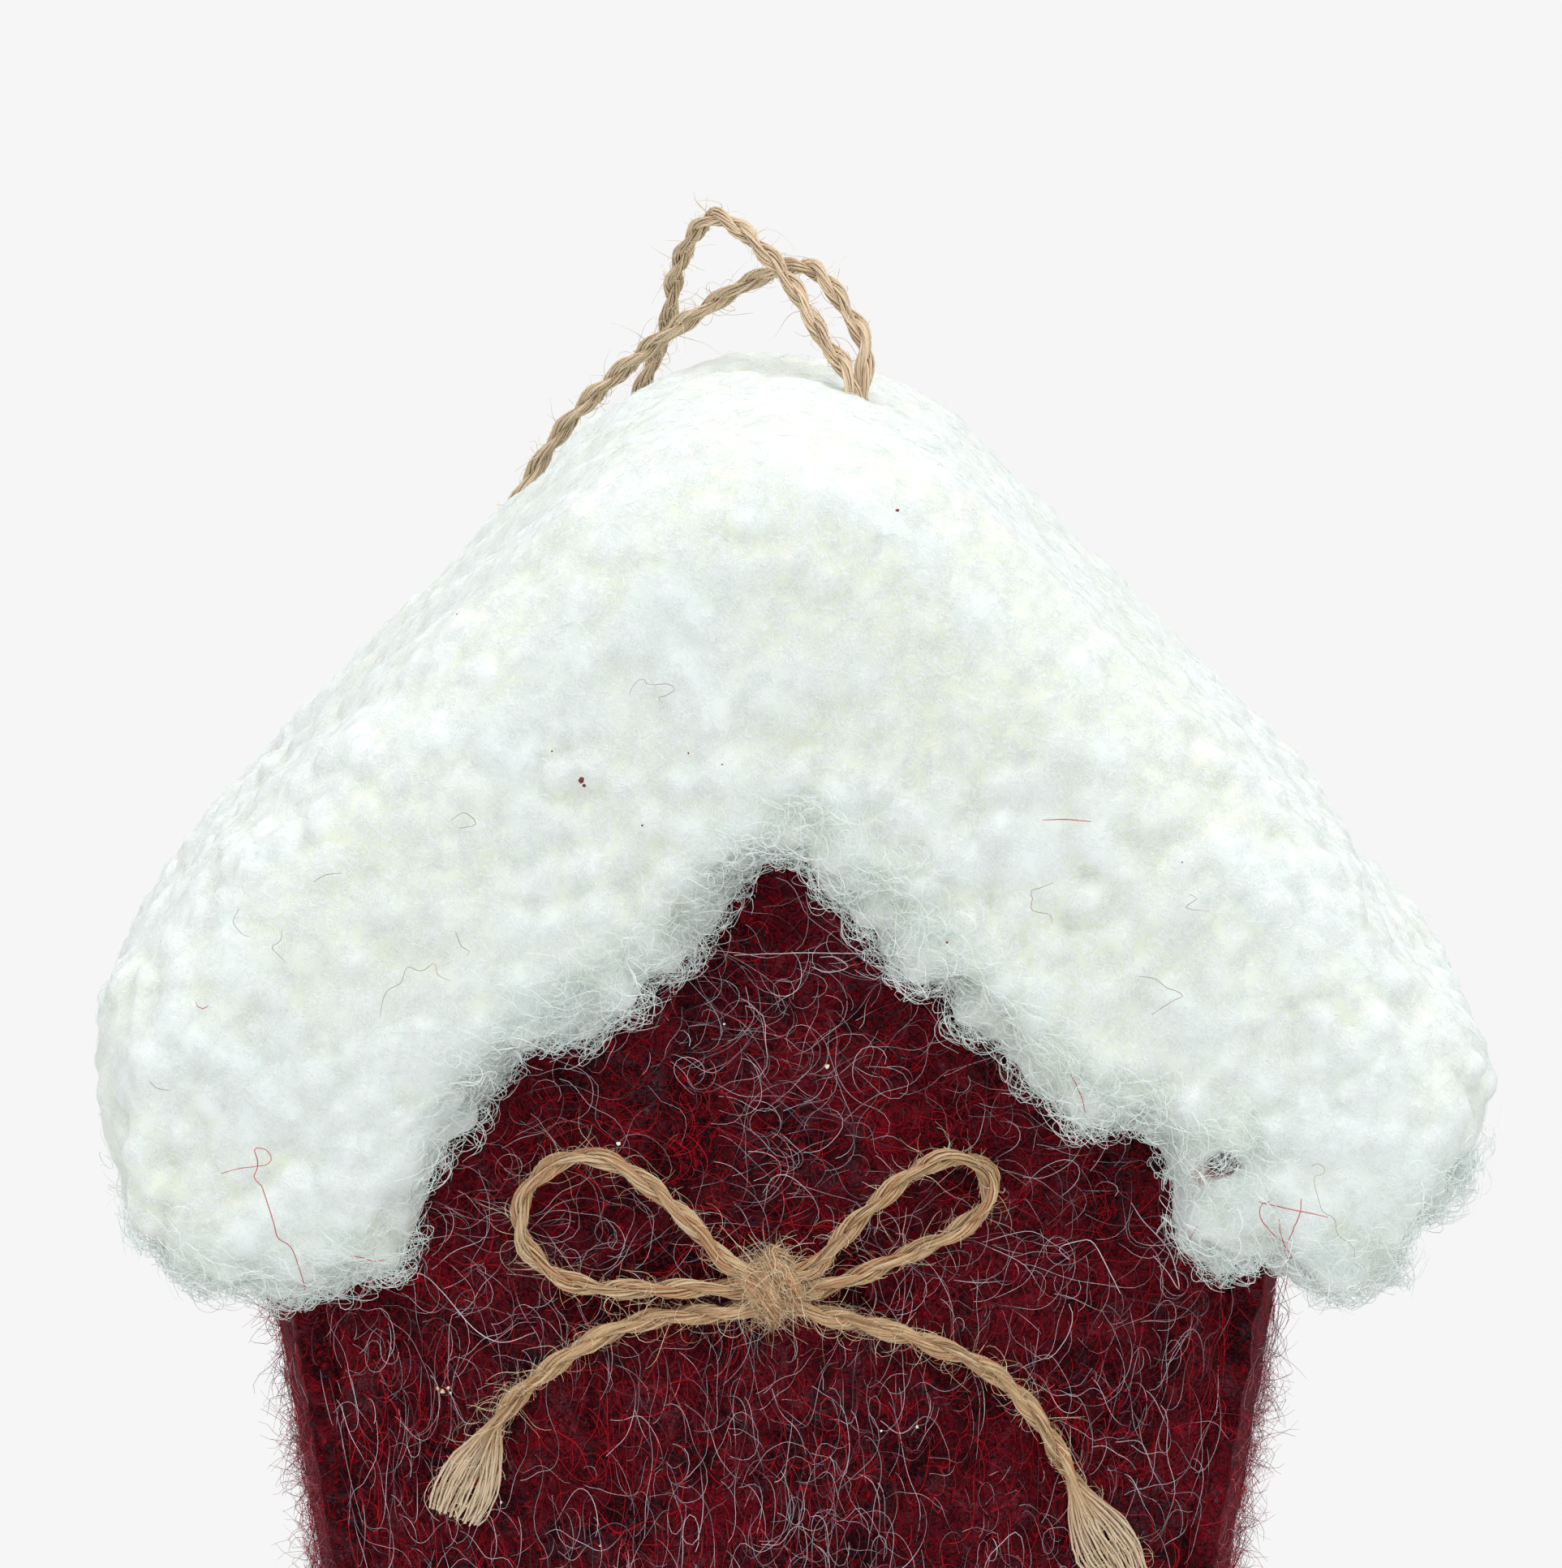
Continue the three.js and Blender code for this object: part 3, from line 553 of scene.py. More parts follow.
# %% The hanging loop's route
loop_exit_x = 6.4
leg_spacing = 0.9
loop_foot_z = 121.8
leg_right_x = loop_exit_x + leg_spacing / 2
leg_left_x = loop_exit_x - leg_spacing / 2
hanging_loop_points = [
    (leg_right_x, -0.6, loop_foot_z), (leg_right_x, -0.5, 126), (leg_right_x, -0.1, 129.4),
    (7.2, 1.4, 131.7), (5.7, 3.9, 134.4), (2.9, 8.2, 137.3), (-0.6, 12.8, 136.3), (-9, 19.5, 130.4),
    (-17.3, 26.8, 122.1), (-22.4, 29.9, 113.4), (-24.4, 29.7, 106.6), (-23.6, 29.4, 100.8),
    (-19.8, 29.4, 97.4), (-15.4, 29.4, 99.4), (-13, 29.5, 105.5), (-12, 29.8, 114), (-12, 30.6, 121.4),
    (-10.6, 29.5, 126), (-8.9, 26, 130.6), (-7.9, 20.6, 136.2), (-4.8, 14.4, 140.7), (0.2, 8, 137.5),
    (3.9, 1.9, 132.3), (leg_left_x, -1.5, 129.4), (leg_left_x, -1.9, 126), (leg_left_x, -2.0, loop_foot_z),
]
hanging_loop_route = smooth_route([Vector(p) * mm for p in hanging_loop_points])
print("hanging loop:", round(route_length(hanging_loop_route) / mm), "mm of twine")

# %% [markdown]
# The bow lies on the bulging front panel. Its points are given as the distance across and up from the
# middle of the bow, and the height over the felt. The bulge is the one that the panel was made with.

# %% The bow's routes
twine_diameter = 1.5
bow_x = -0.1
bow_z = 62.6
seam_half_depth = 20
seam_gap = 0.3
front_bulge = 3
gable_height = 115
base_half_width = 26.7
wall_flare_share = 0.15


def on_front(x, z, lift):
    """A point in front of the felt, x and z in the house's own millimetres."""
    half_width = min(base_half_width + wall_flare_share * z, gable_height - z)
    across = min(1, abs(x) / half_width)
    bulge = front_bulge * (1 - across ** 2) * math.sin(math.pi * z / gable_height)
    return Vector((x, -(seam_half_depth + bulge + seam_gap + lift), z)) * mm


def bow_route(points):
    radius = twine_diameter / 2
    return smooth_route([on_front(bow_x + x, bow_z + z, radius + lift) for x, z, lift in points])


bow_loop_left_route = bow_route([
    (-1.3, 0.9, 1.3), (-3.4, 1.75, 1.1), (-5.4, 3.9, 1), (-8.2, 6.7, 0.9), (-11.3, 9.1, 0.8),
    (-14.4, 10.1, 0.7), (-17.4, 9, 0.6), (-19.4, 6.4, 0.5), (-19.3, 3.4, 0.4), (-17.5, 1, 0.3),
    (-14.7, -0.3, 0.2), (-11, -0.5, 0.3), (-7, -0.3, 0.6), (-3.4, -0.15, 1), (-1.2, -0.1, 1.3),
])
bow_loop_right_route = bow_route([
    (1.3, 0.9, 1.3), (3.4, 1.7, 1.1), (5, 3.6, 1), (7.6, 6.2, 0.9), (10.5, 8.7, 0.8), (13.6, 10, 0.8),
    (16.3, 9, 0.7), (16.4, 6.3, 0.5), (14, 4, 0.4), (10.5, 2.4, 0.4), (6.9, 0.9, 0.7), (3.4, -0.2, 1),
    (1.2, -0.1, 1.3),
])
bow_tail_left_route = bow_route([
    (-1.2, -1.3, 1.1), (-3.3, -2.1, 1), (-6.4, -2.4, 0.5), (-9.6, -2.9, 0.2), (-13, -4.2, 0),
    (-16.2, -6.2, 0), (-19.2, -8.7, 0), (-21.4, -11.4, 0), (-22.6, -14, 0), (-24.9, -19.2, 0),
])
bow_tail_right_route = bow_route([
    (1.2, -1.3, 1.1), (3.2, -2.1, 1), (6, -2.9, 0.5), (9.2, -3.9, 0.2), (12.6, -5.1, 0),
    (15.8, -6.6, 0), (18.6, -8.8, 0), (21, -12, 0), (23, -15.8, 0), (24.6, -19.2, 0), (27.3, -24.3, 0),
])
for name, route in (("left loop", bow_loop_left_route), ("right loop", bow_loop_right_route),
                    ("left tail", bow_tail_left_route), ("right tail", bow_tail_right_route)):
    print(name, round(route_length(route) / mm, 1), "mm")

# %% [markdown]
# ## Colours and materials
# Each material is one Principled shader fed by layers of noise. Curly fibre lines come from the level
# lines of a noise field: where the noise passes one chosen value, a thin winding line is drawn, as on a
# map. Several such layers in different colours lie over each other like the fibres of felt.

# %% Material helpers
def colour(red, green, blue):
    """A colour given as screen values from 0 to 255, in the linear values that shaders take."""
    def linear(value):
        value = value / 255
        return value / 12.92 if value <= 0.04045 else ((value + 0.055) / 1.055) ** 2.4
    return (linear(red), linear(green), linear(blue), 1.0)


def new_material(name, roughness, gloss=0.15):
    material = bpy.data.materials.new(name)
    material.use_nodes = True
    shader = material.node_tree.nodes["Principled BSDF"]
    shader.inputs["Roughness"].default_value = roughness
    shader.inputs["Specular IOR Level"].default_value = gloss
    return material, material.node_tree, shader


def object_place(tree):
    return add(tree, "ShaderNodeTexCoord").outputs["Object"]


def noise_field(tree, vector, scale, detail=2.0, roughness=0.5, distortion=0.0):
    return field(tree, "ShaderNodeTexNoise", inputs={
        "Vector": vector, "Scale": scale, "Detail": detail, "Roughness": roughness,
        "Distortion": distortion,
    })


def shifted(tree, vector, seed):
    """The same pattern, read somewhere else."""
    return vectors(tree, "ADD", vector, (0.13 * seed, 0.29 * seed, 0.41 * seed))


def ramp(tree, value, low, high):
    """0 below low, 1 above high and a soft step between them."""
    return field(tree, "ShaderNodeMapRange", inputs={0: value, 1: low, 2: high, 3: 0.0, 4: 1.0},
                 interpolation_type="SMOOTHSTEP")


def blend_colours(tree, share, first, second):
    return field(tree, "ShaderNodeMix", output=2, inputs={0: share, 6: first, 7: second}, data_type="RGBA")


def level_lines(tree, vector, scale, width, seed, distortion=1.0):
    """1 on thin winding lines and 0 between them."""
    value = noise_field(tree, shifted(tree, vector, seed), scale, detail=1.0, distortion=distortion)
    off = (value - 0.5).run("ABSOLUTE")
    return field(tree, "ShaderNodeMapRange", inputs={0: off, 1: 0.0, 2: width, 3: 1.0, 4: 0.0})


def bump(tree, height, distance, strength=1.0):
    return add(tree, "ShaderNodeBump",
               {"Height": height, "Distance": distance, "Strength": strength}).outputs[0]


# %% [markdown]
# ## The felt's colour
# Felt of mixed wool is dark red from afar, but near black, maroon, bright red and pale fibres lie side by
# side in it. A picture of felt would do, but it would repeat and carry its own light. Instead soft patches
# give the ground, and level lines of several widths and colours give fibres that never repeat.

# %% Mix the felt
felt_dark = colour(32, 12, 17)
felt_maroon = colour(100, 20, 31)
felt_red = colour(168, 18, 35)
felt_pale = colour(140, 104, 118)
# Each layer of fibres: fineness, width of its lines, colour and how much it covers.
felt_fibres = (
    (520.0, 0.030, felt_dark, 0.9), (700.0, 0.026, felt_red, 0.7), (480.0, 0.020, felt_red, 0.8),
    (860.0, 0.030, felt_dark, 0.9), (420.0, 0.012, felt_pale, 0.3), (620.0, 0.018, felt_red, 0.9),
    (540.0, 0.010, felt_pale, 0.35),
)


def felt_material(name, sheen):
    """Sheen is the pale glow of a fuzzy surface that is seen at a low angle."""
    material, tree, shader = new_material(name, roughness=0.95, gloss=0.03)
    place = object_place(tree)
    patches = noise_field(tree, place, 150.0, detail=4.0, roughness=0.65, distortion=0.6)
    base = blend_colours(tree, ramp(tree, patches, 0.40, 0.62), felt_dark, felt_maroon)
    mist = noise_field(tree, shifted(tree, place, 9), 240.0, detail=5.0, roughness=0.7, distortion=0.8)
    base = blend_colours(tree, ramp(tree, mist, 0.48, 0.74) * 0.2, base, felt_pale)
    height = patches * 0.6
    for seed, (scale, width, tint, share) in enumerate(felt_fibres, 3):
        lines = level_lines(tree, place, scale, width, seed, distortion=1.6)
        base = blend_colours(tree, lines * share, base, tint)
        height = height + lines * (0.12 * seed)
    plug(tree, shader.inputs["Base Color"], base)
    plug(tree, shader.inputs["Normal"], bump(tree, height, 0.25 * mm))
    shader.inputs["Sheen Weight"].default_value = sheen
    shader.inputs["Sheen Roughness"].default_value = 0.35
    shader.inputs["Sheen Tint"].default_value = colour(236, 140, 154)
    return material


felt = felt_material("hairy_felt", 0.0)
side_felt = felt_material("hairy_side_felt", 0.4)
print("felt:", len(felt.node_tree.nodes), "shader nodes,", len(felt_fibres), "layers of fibres")

# %% [markdown]
# ## The hairs' colours
# No two hairs of wool have the same tone. Thousands of materials would be slow, so the tree gives each
# hair a spot of its own on the UV map, and a noise read there picks a tone between two given ones.

# %% Mix the hairs' colours
def hair_material(name, tones, roughness=0.6, gloss=0.1):
    """A hair's colour varies from hair to hair: each hair has its own spot on the map."""
    material, tree, shader = new_material(name, roughness, gloss)
    where = add(tree, "ShaderNodeUVMap", uv_map="UVMap").outputs[0]
    luck = noise_field(tree, where, 90.0, detail=1.0)
    tint = blend_colours(tree, ramp(tree, luck, 0.4, 0.62), tones[0], tones[1])
    plug(tree, shader.inputs["Base Color"], tint)
    return material


red_hair = hair_material("red_wool_hair", (colour(84, 14, 22), colour(220, 32, 50)))
dark_hair = hair_material("dark_wool_hair", (colour(26, 9, 14), colour(72, 30, 40)))
pink_hair = hair_material("pink_wool_hair", (colour(118, 22, 36), colour(206, 112, 126)))
pale_hair = hair_material("pale_wool_hair", (colour(96, 50, 64), colour(236, 226, 234)), 0.45, 0.3)
fleece_hair = hair_material("fleece_hair", (colour(240, 249, 246), colour(248, 255, 253)), 0.7, 0.2)
jute_hair = hair_material("jute_hair", (colour(204, 168, 124), colour(250, 236, 206)), 0.5, 0.3)
hair_colours = (red_hair, dark_hair, pink_hair, pale_hair, fleece_hair, jute_hair)
print("hair colours:", [material.name for material in hair_colours])

# %% [markdown]
# ## The fleece's colour
# White pile takes up light and gives it back softly, which is what subsurface scattering is for. The tips
# are painted a cool white as painted light, and the hollows between the nubs a creamier, darker painted
# shade. The number "hollow", kept for each vertex when the nubs are raised, steers that, and fine arcs
# stand for the single curls, each with a thin painted shadow line beside it.

# %% Mix the fleece
# Painted light and shade: the cool white tips and the creamier, darker hollows are lit and shaded tones of
# one white pile.
fleece_lit_tips = colour(237, 251, 246)
fleece_shaded_hollows = colour(237, 242, 228)
# Painted shadow: the darker colour of a thin line beside each curl.
fleece_arc_shadow = colour(212, 217, 206)
fleece_light = colour(244, 255, 252)
slit_red = colour(176, 40, 50)
# Each layer of curls: fineness, width of its lines and how much they twist.
fleece_curls = (
    (520.0, 0.05, 3.0), (700.0, 0.06, 2.5), (900.0, 0.07, 2.0), (620.0, 0.05, 3.5), (1100.0, 0.08, 2.0),
)


def fleece_material():
    material, tree, shader = new_material("curly_fleece", roughness=0.95, gloss=0.05)
    place = object_place(tree)
    hollow = field(tree, "ShaderNodeAttribute", output=2, attribute_name="hollow")
    clouds = noise_field(tree, place, 60.0)
    # Painted shade: the deeper a vertex lies between nubs, the more it takes of the creamier, darker hollow
    # colour.
    hollow_shade_share = ramp(tree, hollow + (clouds - 0.5) * 1.6, 0.1, 0.95)
    base = blend_colours(tree, hollow_shade_share, fleece_lit_tips, fleece_shaded_hollows)
    height = noise_field(tree, place, 2600.0, detail=3.0, roughness=0.7) * 0.25
    for seed, (scale, width, distortion) in enumerate(fleece_curls, 2):
        lines = level_lines(tree, place, scale, width, seed, distortion)
        breaks = noise_field(tree, shifted(tree, place, seed + 5), scale * 0.8, detail=1.0)
        gaps = ramp(tree, breaks, 0.44, 0.56)
        arcs = lines * gaps
        # Painted shadow: the same line set a hair's breadth aside, in a darker colour, stands for the
        # shadow beside each curl.
        under = shifted(tree, place, seed + 0.0008)
        arc_shadow = level_lines(tree, under, scale, width, seed, distortion) * gaps
        base = blend_colours(tree, arc_shadow * 0.15, base, fleece_arc_shadow)
        base = blend_colours(tree, arcs * 0.75, base, fleece_light)
        height = height + arcs * 0.5
    slit = field(tree, "ShaderNodeAttribute", output=2, attribute_name="slit")
    base = blend_colours(tree, slit, base, slit_red)
    plug(tree, shader.inputs["Base Color"], base)
    plug(tree, shader.inputs["Normal"], bump(tree, height, 0.10 * mm))
    plug(tree, shader.inputs["Subsurface Weight"], slit * -0.8 + 0.8)
    shader.inputs["Subsurface Radius"].default_value = (1.0, 1.0, 1.0)
    shader.inputs["Subsurface Scale"].default_value = 2.0 * mm
    return material


fleece_pile = fleece_material()
print("fleece:", len(fleece_pile.node_tree.nodes), "shader nodes")

# %% [markdown]
# ## The jute's colour
# Jute fibres run from brown over straw to nearly white, and each keeps its tone along the twine. The twine
# tree numbers the bundles ("tone") and measures the way along them ("run"). Streaks stretched along the
# run give the fibres, and the tone makes a few bundles rusty, dark or pale. "Pale" makes the cut ends
# paler, and over the whole hanging loop it is painted light, for the stronger light up at the ridge.

# %% Mix the jute
def jute_material():
    material, tree, shader = new_material("jute_twine", roughness=0.7, gloss=0.2)
    place = object_place(tree)
    tone = field(tree, "ShaderNodeAttribute", output=2, attribute_name="tone")
    run = field(tree, "ShaderNodeAttribute", output=2, attribute_name="run")
    pale = field(tree, "ShaderNodeAttribute", output=2, attribute_name="pale")
    stretched = combine(tree, run * 260.0, tone * 40.0, 0.0)
    streak = noise_field(tree, stretched, 1.0, detail=3.0, roughness=0.6)
    base = blend_colours(tree, ramp(tree, streak, 0.25, 0.7), colour(164, 124, 88), colour(218, 188, 148))
    base = blend_colours(tree, ramp(tree, tone, 0.84, 0.97) * 0.5, base, colour(190, 112, 74))
    base = blend_colours(tree, ramp(tree, tone, 0.24, 0.06) * 0.6, base, colour(118, 86, 58))
    straw = ramp(tree, tone, 0.6, 0.72) * ramp(tree, tone, 0.84, 0.76) * 0.6
    base = blend_colours(tree, straw, base, colour(224, 204, 170))
    grain = noise_field(tree, place, 3000.0, detail=3.0, roughness=0.7)
    base = blend_colours(tree, ramp(tree, grain, 0.5, 0.75) * 0.3, base, colour(128, 92, 62))
    # Paler towards the cut ends; over the whole hanging loop this paleness is painted light.
    base = blend_colours(tree, pale, base, colour(238, 222, 196))
    plug(tree, shader.inputs["Base Color"], base)
    plug(tree, shader.inputs["Normal"], bump(tree, grain, 0.05 * mm))
    return material


jute = jute_material()
print("jute:", len(jute.node_tree.nodes), "shader nodes")

# %% [markdown]
# ## Filling, board and glue
# These are hidden by the felt and the fleece, but the model is taken apart as well as looked at. So each
# gets a plain finish of its own: loose white fibre, grey card and clouded glue.

# %% Mix the hidden finishes
def filling_material():
    material, tree, shader = new_material("fibre_filling", roughness=0.95)
    place = object_place(tree)
    lines = level_lines(tree, place, scale=420.0, width=0.12, seed=1, distortion=2.0)
    tint = blend_colours(tree, lines, colour(222, 220, 212), colour(246, 246, 242))
    plug(tree, shader.inputs["Base Color"], tint)
    plug(tree, shader.inputs["Normal"], bump(tree, lines, 0.4 * mm))
    return material


def board_material():
    material, tree, shader = new_material("grey_board", roughness=0.85)
    place = object_place(tree)
    flecks = noise_field(tree, place, 900.0, detail=4.0, roughness=0.7)
    tint = blend_colours(tree, ramp(tree, flecks, 0.35, 0.7), colour(134, 116, 92), colour(178, 160, 132))
    plug(tree, shader.inputs["Base Color"], tint)
    plug(tree, shader.inputs["Normal"], bump(tree, flecks, 0.05 * mm))
    return material


def glue_material():
    material, tree, shader = new_material("set_glue", roughness=0.3)
    place = object_place(tree)
    cloudy = noise_field(tree, place, 500.0)
    tint = blend_colours(tree, cloudy, colour(214, 204, 172), colour(238, 232, 208))
    plug(tree, shader.inputs["Base Color"], tint)
    return material


filling = filling_material()
board = board_material()
glue = glue_material()
print("hidden finishes:", filling.name, board.name, glue.name)

# %% [markdown]
# ## The felt panels
# A panel is a thick soft sheet, cut flat and pushed out by the filling. Cloth simulation could push it, but
# the CAD panel already has that bulge, so its facets only give way to a fine even net with small lumps.

# %% Make the felt panels
felt_voxel = 1.25 * mm
felt_lump = 0.22 * mm


def dress(piece, material, replaced=()):
    """Gives a piece its finish, and then what every piece needs."""
    piece.data.materials.clear()
    piece.data.materials.append(material)
    return carried(piece, replaced)


def carried(piece, replaced=()):
    """Gives a piece its body, and hides the CAD pieces that it stands for."""
    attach(piece, "root")
    if replaced:
        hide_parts(*replaced)
    return piece


def felt_panel(node, name, seed):
    piece = remeshed(merged_copy(node, name), name, felt_voxel, smoothing=3)
    points = coordinates(piece.data)
    lumps = fbm(points, 3.2 * mm, octaves=3, seed=seed)
    move_to(piece.data, points + normals(piece.data) * (lumps * felt_lump)[:, None])
    store(piece.data, "cover", open_air(piece.data, fleece_solid) * open_air(piece.data, body_solids))
    hang = 0.2 if "side" in node else 1.0
    store(piece.data, "droop", hang * smoothstep(66 * mm, 54 * mm, points[:, 2]))
    dress(piece, side_felt if "side" in node else felt, [node])
    return piece


# The piece that each CAD panel becomes.
panel_names = {
    "front_panel": "felt_front", "back_panel": "felt_back", "side_panel_left": "felt_side_left",
    "side_panel_right": "felt_side_right", "base_panel": "felt_base",
    "top_panel_left": "felt_top_left", "top_panel_right": "felt_top_right",
}
panels = {}
for seed, (node, name) in enumerate(panel_names.items(), 1):
    panels[node] = felt_panel(node, name, seed)
    print(name, len(panels[node].data.polygons), "faces")

# %% [markdown]
# ## The corner seams
# Where two felt panels are sewn edge to edge, their wool mats together and nothing shows between them. The
# CAD panels keep a small gap there. A square strip of felt in each upright corner closes it: four corners
# of a box, carried up along the sloping wall, rounded by the same even net as the panels.

# %% Sew the corners
seam_away = 18.1
seam_outside = 0.6
seam_width = 2.9
seam_foot = 3.6
seam_head = 75.0
seam_lump = 0.3 * mm
seam_voxel = 0.6 * mm


def corner_seam(name, side, face, seed):
    """A strip of felt up one corner: side is -1 on the left, face is -1 at the front."""
    points = []
    half = seam_width / 2
    for z in (seam_foot, seam_head):
        x = side * (base_half_width + wall_flare_share * z + seam_outside)
        y = face * seam_away
        for across, deep in ((-1, -1), (1, -1), (1, 1), (-1, 1)):
            points.append((mm * (x + across * half), mm * (y + deep * half), mm * z))
    faces = [(3, 2, 1, 0), (4, 5, 6, 7), (0, 1, 5, 4), (1, 2, 6, 5), (2, 3, 7, 6), (3, 0, 4, 7)]
    mesh = bpy.data.meshes.new(name)
    mesh.from_pydata(points, [], faces)
    piece = remeshed(link(bpy.data.objects.new(name, mesh)), name, seam_voxel, smoothing=5)
    points = coordinates(piece.data)
    lumps = fbm(points, 3.0 * mm, octaves=3, seed=seed)
    move_to(piece.data, points + normals(piece.data) * (lumps * seam_lump)[:, None])
    store(piece.data, "cover", open_air(piece.data, fleece_solid) * open_air(piece.data, body_solids))
    return dress(piece, felt)


seams = [
    corner_seam("felt_seam_front_left", -1, -1, 61), corner_seam("felt_seam_front_right", 1, -1, 62),
    corner_seam("felt_seam_back_left", -1, 1, 63), corner_seam("felt_seam_back_right", 1, 1, 64),
]
print("seams:", [len(seam.data.polygons) for seam in seams], "faces")

# %% [markdown]
# ## The felt's hairs
# Short red and dark hairs make the matted ground of the felt, long pale ones lie over it in wide loops, and
# a fuzz stands out at the sides, where the light comes through it. Particle hair would be quicker to comb,
# but it isn't exported. All of them come from the one hair tree, and only the sizes differ.

# %% Grow the felt's hairs
ground_hair = {
    "Length": 6.0 * mm, "Length spread": 0.6, "Thickness": 0.055 * mm, "Curl": 0.8, "Swing": 6.0,
    "Swing size": 1.6 * mm, "Lift": 0.5 * mm, "Spin": 0.0, "Lean least": 0.0, "Lean most": 0.0,
    "Anchor": 0.5, "Points": 9,
}
long_hair = {
    **ground_hair, "Length": 14.0 * mm, "Thickness": 0.06 * mm, "Curl": 0.85, "Swing": 7.0,
    "Swing size": 2.7 * mm, "Lift": 1.1 * mm, "Points": 17,
}
short_hair = {
    **ground_hair, "Length": 6.5 * mm, "Thickness": 0.05 * mm, "Curl": 0.7, "Lift": 0.9 * mm,
}
side_fuzz = {
    **ground_hair, "Length": 4.8 * mm, "Thickness": 0.05 * mm, "Curl": 0.6, "Spin": 1.0,
    "Lean least": 0.3, "Lean most": 1.1, "Anchor": 0.12, "Points": 6,
}
floor_clearance = -0.1 * mm
bend_at_floor = 0.97


def grow(source, name, sizes, density, material, seed, cover=None):
    """Hairs on a piece. Those that would reach through the floor are bent flat on it."""
    mesh = source.data.copy()
    if cover is not None:
        store(mesh, "cover", cover)
    piece = run_tree(hairs, mesh, name, {
        **sizes, "Hairs per cm2": density, "Seed": seed, "Material": material,
    })
    points = coordinates(piece.data)
    below = np.minimum(points[:, 2] - floor_clearance, 0)
    points[:, 2] -= bend_at_floor * below
    move_to(piece.data, points)
    return carried(piece)


def patchy(piece, patch, seed):
    """Open air, with hairs thick in some places and thin in others."""
    cover = np.empty(len(piece.data.vertices), np.float32)
    piece.data.attributes["cover"].data.foreach_get("value", cover)
    thickness = 1 + 2.3 * fbm(coordinates(piece.data), patch, octaves=2, seed=seed)
    return cover * np.clip(thickness, 0.1, 2.6)


# Hairs per cm2 on each panel: red ground, dark ground, long pale, short pale and long red.
felt_hair_plan = {
    "front_panel": (37.0, 12.0, 18.0, 14.0, 14.0), "back_panel": (12.0, 5.0, 5.0, 4.0, 3.0),
    "side_panel_left": (16.0, 6.0, 2.0, 6.0, 3.0), "side_panel_right": (16.0, 6.0, 2.0, 6.0, 3.0),
    "base_panel": (6.0, 3.0, 0.0, 1.0, 0.0),
}
# Name, sizes, colour and patch size of each of these.
felt_hair_sorts = (
    ("_red_hairs", ground_hair, red_hair, 9 * mm), ("_dark_hairs", ground_hair, dark_hair, 6 * mm),
    ("_pale_hairs", long_hair, pale_hair, 14 * mm), ("_short_pale_hairs", short_hair, pale_hair, 8 * mm),
    ("_long_red_hairs", long_hair, red_hair, 10 * mm),
)
seam_hair_density = 26.0
fuzz_density = {"left": 110.0, "right": 80.0}
fuzz_patch = 9 * mm

for seed, (node, densities) in enumerate(felt_hair_plan.items(), 1):
    panel = panels[node]
    for shift, ((ending, sizes, material, patch), density) in enumerate(zip(felt_hair_sorts, densities)):
        if density > 0:
            cover = patchy(panel, patch, 3 * seed + shift)
            grow(panel, panel.name + ending, sizes, density, material, 10 * seed + shift, cover)
for seed, seam in enumerate(seams, 91):
    grow(seam, seam.name + "_hairs", ground_hair, seam_hair_density, red_hair, seed)
for seed, (side, density) in enumerate(fuzz_density.items(), 81):
    panel = panels["side_panel_" + side]
    cover = patchy(panel, fuzz_patch, seed)
    grow(panel, panel.name + "_fuzz", side_fuzz, density, pink_hair, seed, cover)

# %% [markdown]
# ## The fleece roof
# A thick fleece wraps the roof boards and hangs over the gable in two flaps with an uneven edge. The CAD
# solid has its size. Sculpting would give the rest by hand, and the script does the same: a fine net is
# pulled at chosen spots, and each pull fades out round its spot as a grab brush's does.

# %% Pull the fleece into shape
# Each stroke is (x, z, move across, move up) in millimetres, as with a sculptor's grab brush.
side_strokes = (
    (-57.6, 72.2, 4.3, 0.0), (-57.3, 67.9, 4.3, 0.5), (-54.0, 61.5, 3.2, 2.3), (-49.9, 56.1, 2.3, 2.4),
    (-45.3, 54.2, 1.0, 2.2), (-40.6, 53.1, 0.6, 2.6), (-56.2, 78.5, 3.5, -0.2), (-54.0, 84.8, 1.5, -1.3),
    (-51.6, 89.0, 0.0, -1.3), (-45.6, 95.9, 0.3, -0.3), (57.3, 71.6, -1.5, 0.0), (56.7, 66.3, -3.1, 0.4),
    (55.2, 62.6, -3.6, 1.3), (51.3, 58.3, -2.0, 2.4), (47.4, 54.6, -2.3, 2.8), (43.1, 54.0, -1.1, 3.4),
    (39.6, 53.6, -0.2, 3.7), (56.1, 80.1, 0.2, -0.3), (53.4, 84.8, -0.9, -1.9), (50.8, 90.1, -0.9, -2.1),
)
flap_strokes = (
    (1.7, 99.3, 0.1, -2.3), (-2.0, 95.3, -0.5, -2.2), (-5.0, 92.8, -0.8, -1.4), (-8.9, 89.5, 0.2, -1.9),
    (-12.4, 86.2, 0.0, -1.1), (-16.4, 82.1, -0.7, 0.5), (-20.9, 76.7, -1.2, 0.8), (-25.9, 73.0, -1.0, 0.1),
    (-28.9, 68.8, 1.0, -1.9), (-33.3, 65.2, 2.7, -2.0), (-37.0, 60.6, 2.6, 1.2), (5.4, 97.3, 0.4, -2.6),
    (9.4, 93.8, 0.0, -2.4), (13.3, 89.7, 0.5, -2.5), (16.8, 86.2, -0.4, -1.2), (20.3, 82.6, -0.3, -2.2),
    (24.3, 78.6, -1.2, -1.8), (28.3, 74.0, 0.6, 1.0), (30.8, 69.9, 0.6, 0.8), (32.9, 64.7, -2.4, 0.7),
    (35.4, 61.6, -2.9, 1.2), (38.1, 59.2, -1.6, 4.2),
)
stroke_reach = 9 * mm
